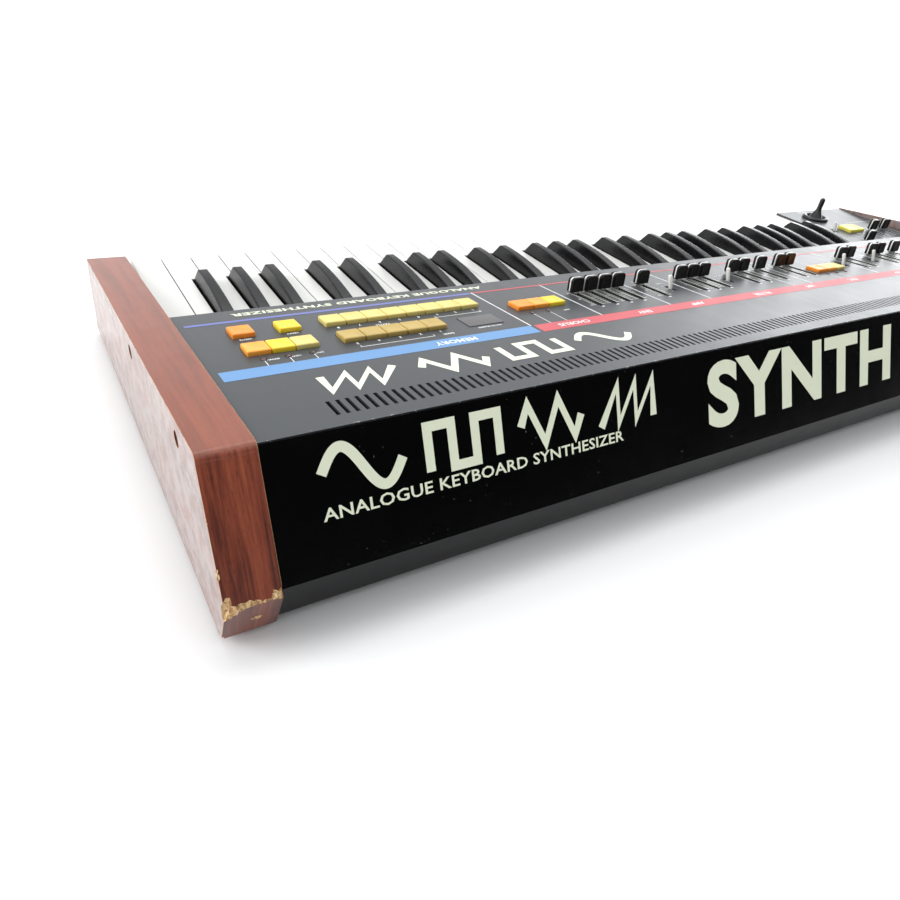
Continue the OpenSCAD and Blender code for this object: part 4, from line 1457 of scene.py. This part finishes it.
for (x, front_edge, _), label in zip(button_middles("voice_buttons"), voice_words):
    white_words.append(words(label, SMALL, (x, front_edge - 3.0)))

SWITCH_WORDS = ["RANGE", "MODE", "SOURCE", "TRIGGER", "ENV + -", "GATE"]
for x, label in zip(switch_x, SWITCH_WORDS):
    white_words.append(words(label, SMALL, (x, panel_y(SWITCH_Y) - 14)))

display = loose_boxes("display_window", panel)[0]
window_middle = (display[0] + display[1]) / 2
white_words.append(words("PATCH NUMBER", SMALL, (window_middle[0], display[1][1] + 3.4)))
make_piece("panel_print_white", placed(joined([bars(np.concatenate(white_bars))] + white_words),
                                       panel), WHITE_INK, "casing", crease=50)
print("white words:", len(white_words))

# %% Section names on the bands
SECTIONS = {"CHORUS": 239, "ENV": 167, "AMP": 106, "FILTER": 22, "HPF": -47.5, "OSC": -118,
            "SWEEP": -204, "LFO": -253, "ARPEGGIO": -312, "KEY MODE": -425}
band_middle = (band_low + band_high) / 2
pale_names = [words(name, 5.2, (x, band_middle), 0.012) for name, x in SECTIONS.items()]
memory_name = words("MEMORY", 5.6, (341, band_middle), 0.012)


def raised(shape):
    """Lifts the ink so that it lies on the band below it."""
    lifted = shape[0].copy()
    lifted[:, 2] = np.where(lifted[:, 2] > 0, 2 * INK, INK / 2)
    return lifted, shape[1]


make_piece("band_names", placed(joined([raised(shape) for shape in pale_names + [memory_name]]),
                                panel), WHITE_INK, "casing", crease=50)

# %% [markdown]
# The same waveforms stand behind the controls, this time facing the player, and a plain line of
# words runs along the front rim.

# %% Marks that face the player
front_marks = [
    waveform_row(212, panel_y(92.5), 448, panel_y(117), 5.0),
    words("ANALOGUE KEYBOARD SYNTHESIZER", 5.4, (360, panel_y(-20)), 0.03, 204),
]
make_piece("panel_print_cream", placed(joined(front_marks), panel), CREAM_INK, "casing", crease=50)

# %% Print on the bender plate
left_caps = [(low + high) / 2 for low, high in loose_boxes("left_slider_caps", plate)]
left_travel = next(j for j in frame["joints"]
                   if j["name"] == "left_slider_caps_slide")["range_m"][1] / MM
plate_bars = [ladder(middle[0], middle[1], middle[1] + left_travel, 7) for middle in left_caps]
plate_words = [words(label, MIDDLE, (middle[0], middle[1] - 8.5))
               for label, middle in zip(["VOLUME", "LFO", "PITCH"], left_caps)]
plate_words.append(words("TRIGGER", MIDDLE, (-408, -86)))
plate_words.append(words("BENDER", 3.0, (lever_middle[0], lever_middle[1] - 24), 0.012))
plate_words.append(ribbon(np.array([[-492, -124], [-492, -36], [-432, -36], [-432, -124],
                                    [-491.6, -124]]), 0.5))
make_piece("plate_print", placed(joined([bars(np.concatenate(plate_bars))] + plate_words), plate),
           WHITE_INK, "casing", crease=50)
print("plate print done")

# %% [markdown]
# ## Floor, light and camera
# The instrument stands on a plain white floor that fills the view. A wide soft light from above
# and in front leaves a gentle shadow, and a smaller one from the player's right grazes the cheek.
# The room itself is brighter in front than behind, so the gloss black rear stays black, and a pale
# backdrop that only the camera sees closes the view above the floor.

# %% Floor


def floor_white():
    """Matt white sheet that glows more with distance, so the far floor stays as white."""
    finish = Finish("floor_white", Roughness=0.55, Emission_Strength=1.0)
    right, rearward, _ = finish.parts()
    far = finish.step(right * right + rearward * rearward, 1.5, 20.0)
    finish.feed("Emission Color", finish.blend(far, (0.0, 0.0, 0.0), (0.42, 0.42, 0.42)))
    cloud = finish.noise(400, 3.0)
    finish.feed("Base Color", finish.ramp(cloud, [(0.3, (0.78, 0.785, 0.79)),
                                                  (0.7, (0.82, 0.82, 0.82))]))
    finish.bump(finish.noise(2.0, 3.0), 0.02)
    return finish.material


def flat_sheet(name, corners, material):
    """One four-cornered face for the set around the object."""
    mesh = bpy.data.meshes.new(name)
    mesh.from_pydata(corners, [], [(0, 1, 2, 3)])
    mesh.materials.append(material)
    sheet = bpy.data.objects.new(name, mesh)
    bpy.context.scene.collection.objects.link(sheet)
    return sheet


FLOOR_REACH = 9.0
flat_sheet("floor", [(-FLOOR_REACH, -FLOOR_REACH, 0), (FLOOR_REACH, -FLOOR_REACH, 0),
                     (FLOOR_REACH, FLOOR_REACH, 0), (-FLOOR_REACH, FLOOR_REACH, 0)], floor_white())

# %% Room


class Room(Finish):
    """The world's own node tree, with the same words as a material."""

    def __init__(self, name):
        self.world = bpy.data.worlds.new(name)
        self.world.use_nodes = True
        self.tree = self.world.node_tree
        self.shader = self.tree.nodes["Background"]


def white_room():
    """Light by direction: bright overhead and in front, a window low down to the front left that
    the far panel mirrors, and dark low down behind, where the gloss black panel looks."""
    room = Room("white_room")
    towards = room.node("ShaderNodeTexCoord", output="Generated")
    right, rearward, upward = room.parts(towards)
    high = room.step(upward, 0.30, 0.75)
    front = room.step(0 - rearward, -0.30, 0.45)
    low = 1 - room.step(upward, 0.10, 0.36)
    window = room.step(0 - right, 0.66, 0.90) * (1 - room.step(upward, 0.18, 0.40))
    horizon = front * (low * 1.1 + 0.6 + window * 5.2) + 0.03
    room.feed("Strength", high * 1.35 + (1 - high) * horizon)
    room.shader.inputs["Color"].default_value = (0.97, 0.985, 1.0, 1.0)
    bpy.context.scene.world = room.world


white_room()

# %% Lamps and the backdrop


def soft_light(name, place, aim, size, power, colour=(1, 1, 1)):
    """A square area light at a place, pointed at an aim, both in metres."""
    light = bpy.data.lights.new(name, "AREA")
    light.size = size
    light.energy = power
    light.color = colour
    lamp = bpy.data.objects.new(name, light)
    lamp.location = place
    lamp.rotation_euler = (Vector(aim) - Vector(place)).to_track_quat("-Z", "Y").to_euler()
    lamp.visible_camera = False
    bpy.context.scene.collection.objects.link(lamp)
    return lamp


soft_light("overhead", (-0.2, -0.7, 2.0), (0, 0.05, 0), 1.4, 16, (1.0, 0.99, 0.97))
soft_light("right side", (2.1, -0.35, 1.0), (0.4, 0.0, 0.05), 1.1, 26)

backdrop_turn = np.linspace(0, math.pi / 2 - 0.02, 12)
backdrop_profile = np.stack([np.cos(backdrop_turn), np.sin(backdrop_turn)], -1) * FLOOR_REACH
backdrop_points, backdrop_faces = turned(backdrop_profile, 48)
backdrop_mesh = bpy.data.meshes.new("backdrop")
backdrop_mesh.from_pydata(backdrop_points.tolist(), [], backdrop_faces[0].tolist())
paper = Finish("backdrop_paper", Roughness=1.0, Emission_Strength=1.0)
paper.feed("Emission Color", paper.ramp(paper.step(paper.parts()[2], 0.0, 2.0),
                                        [(0.0, (1.0, 1.0, 1.0)), (1.0, (0.905, 0.905, 0.905))]))
backdrop_mesh.materials.append(paper.material)
backdrop = bpy.data.objects.new("backdrop", backdrop_mesh)
bpy.context.scene.collection.objects.link(backdrop)
for ray in ("diffuse", "glossy", "transmission", "shadow"):
    setattr(backdrop, "visible_" + ray, False)

# %% Camera
camera = bpy.data.cameras.new("camera")
camera.lens = 27.76
camera.sensor_width = 36
camera_object = bpy.data.objects.new("camera", camera)
camera_object.location = (0.58102, 0.41669, 0.30195)
camera_object.rotation_euler = tuple(math.radians(turn) for turn in (54.5115, -7.4016, 149.1663))
bpy.context.scene.collection.objects.link(camera_object)
bpy.context.scene.camera = camera_object
bpy.context.scene.view_settings.view_transform = "Standard"
print("camera at", tuple(camera_object.location))
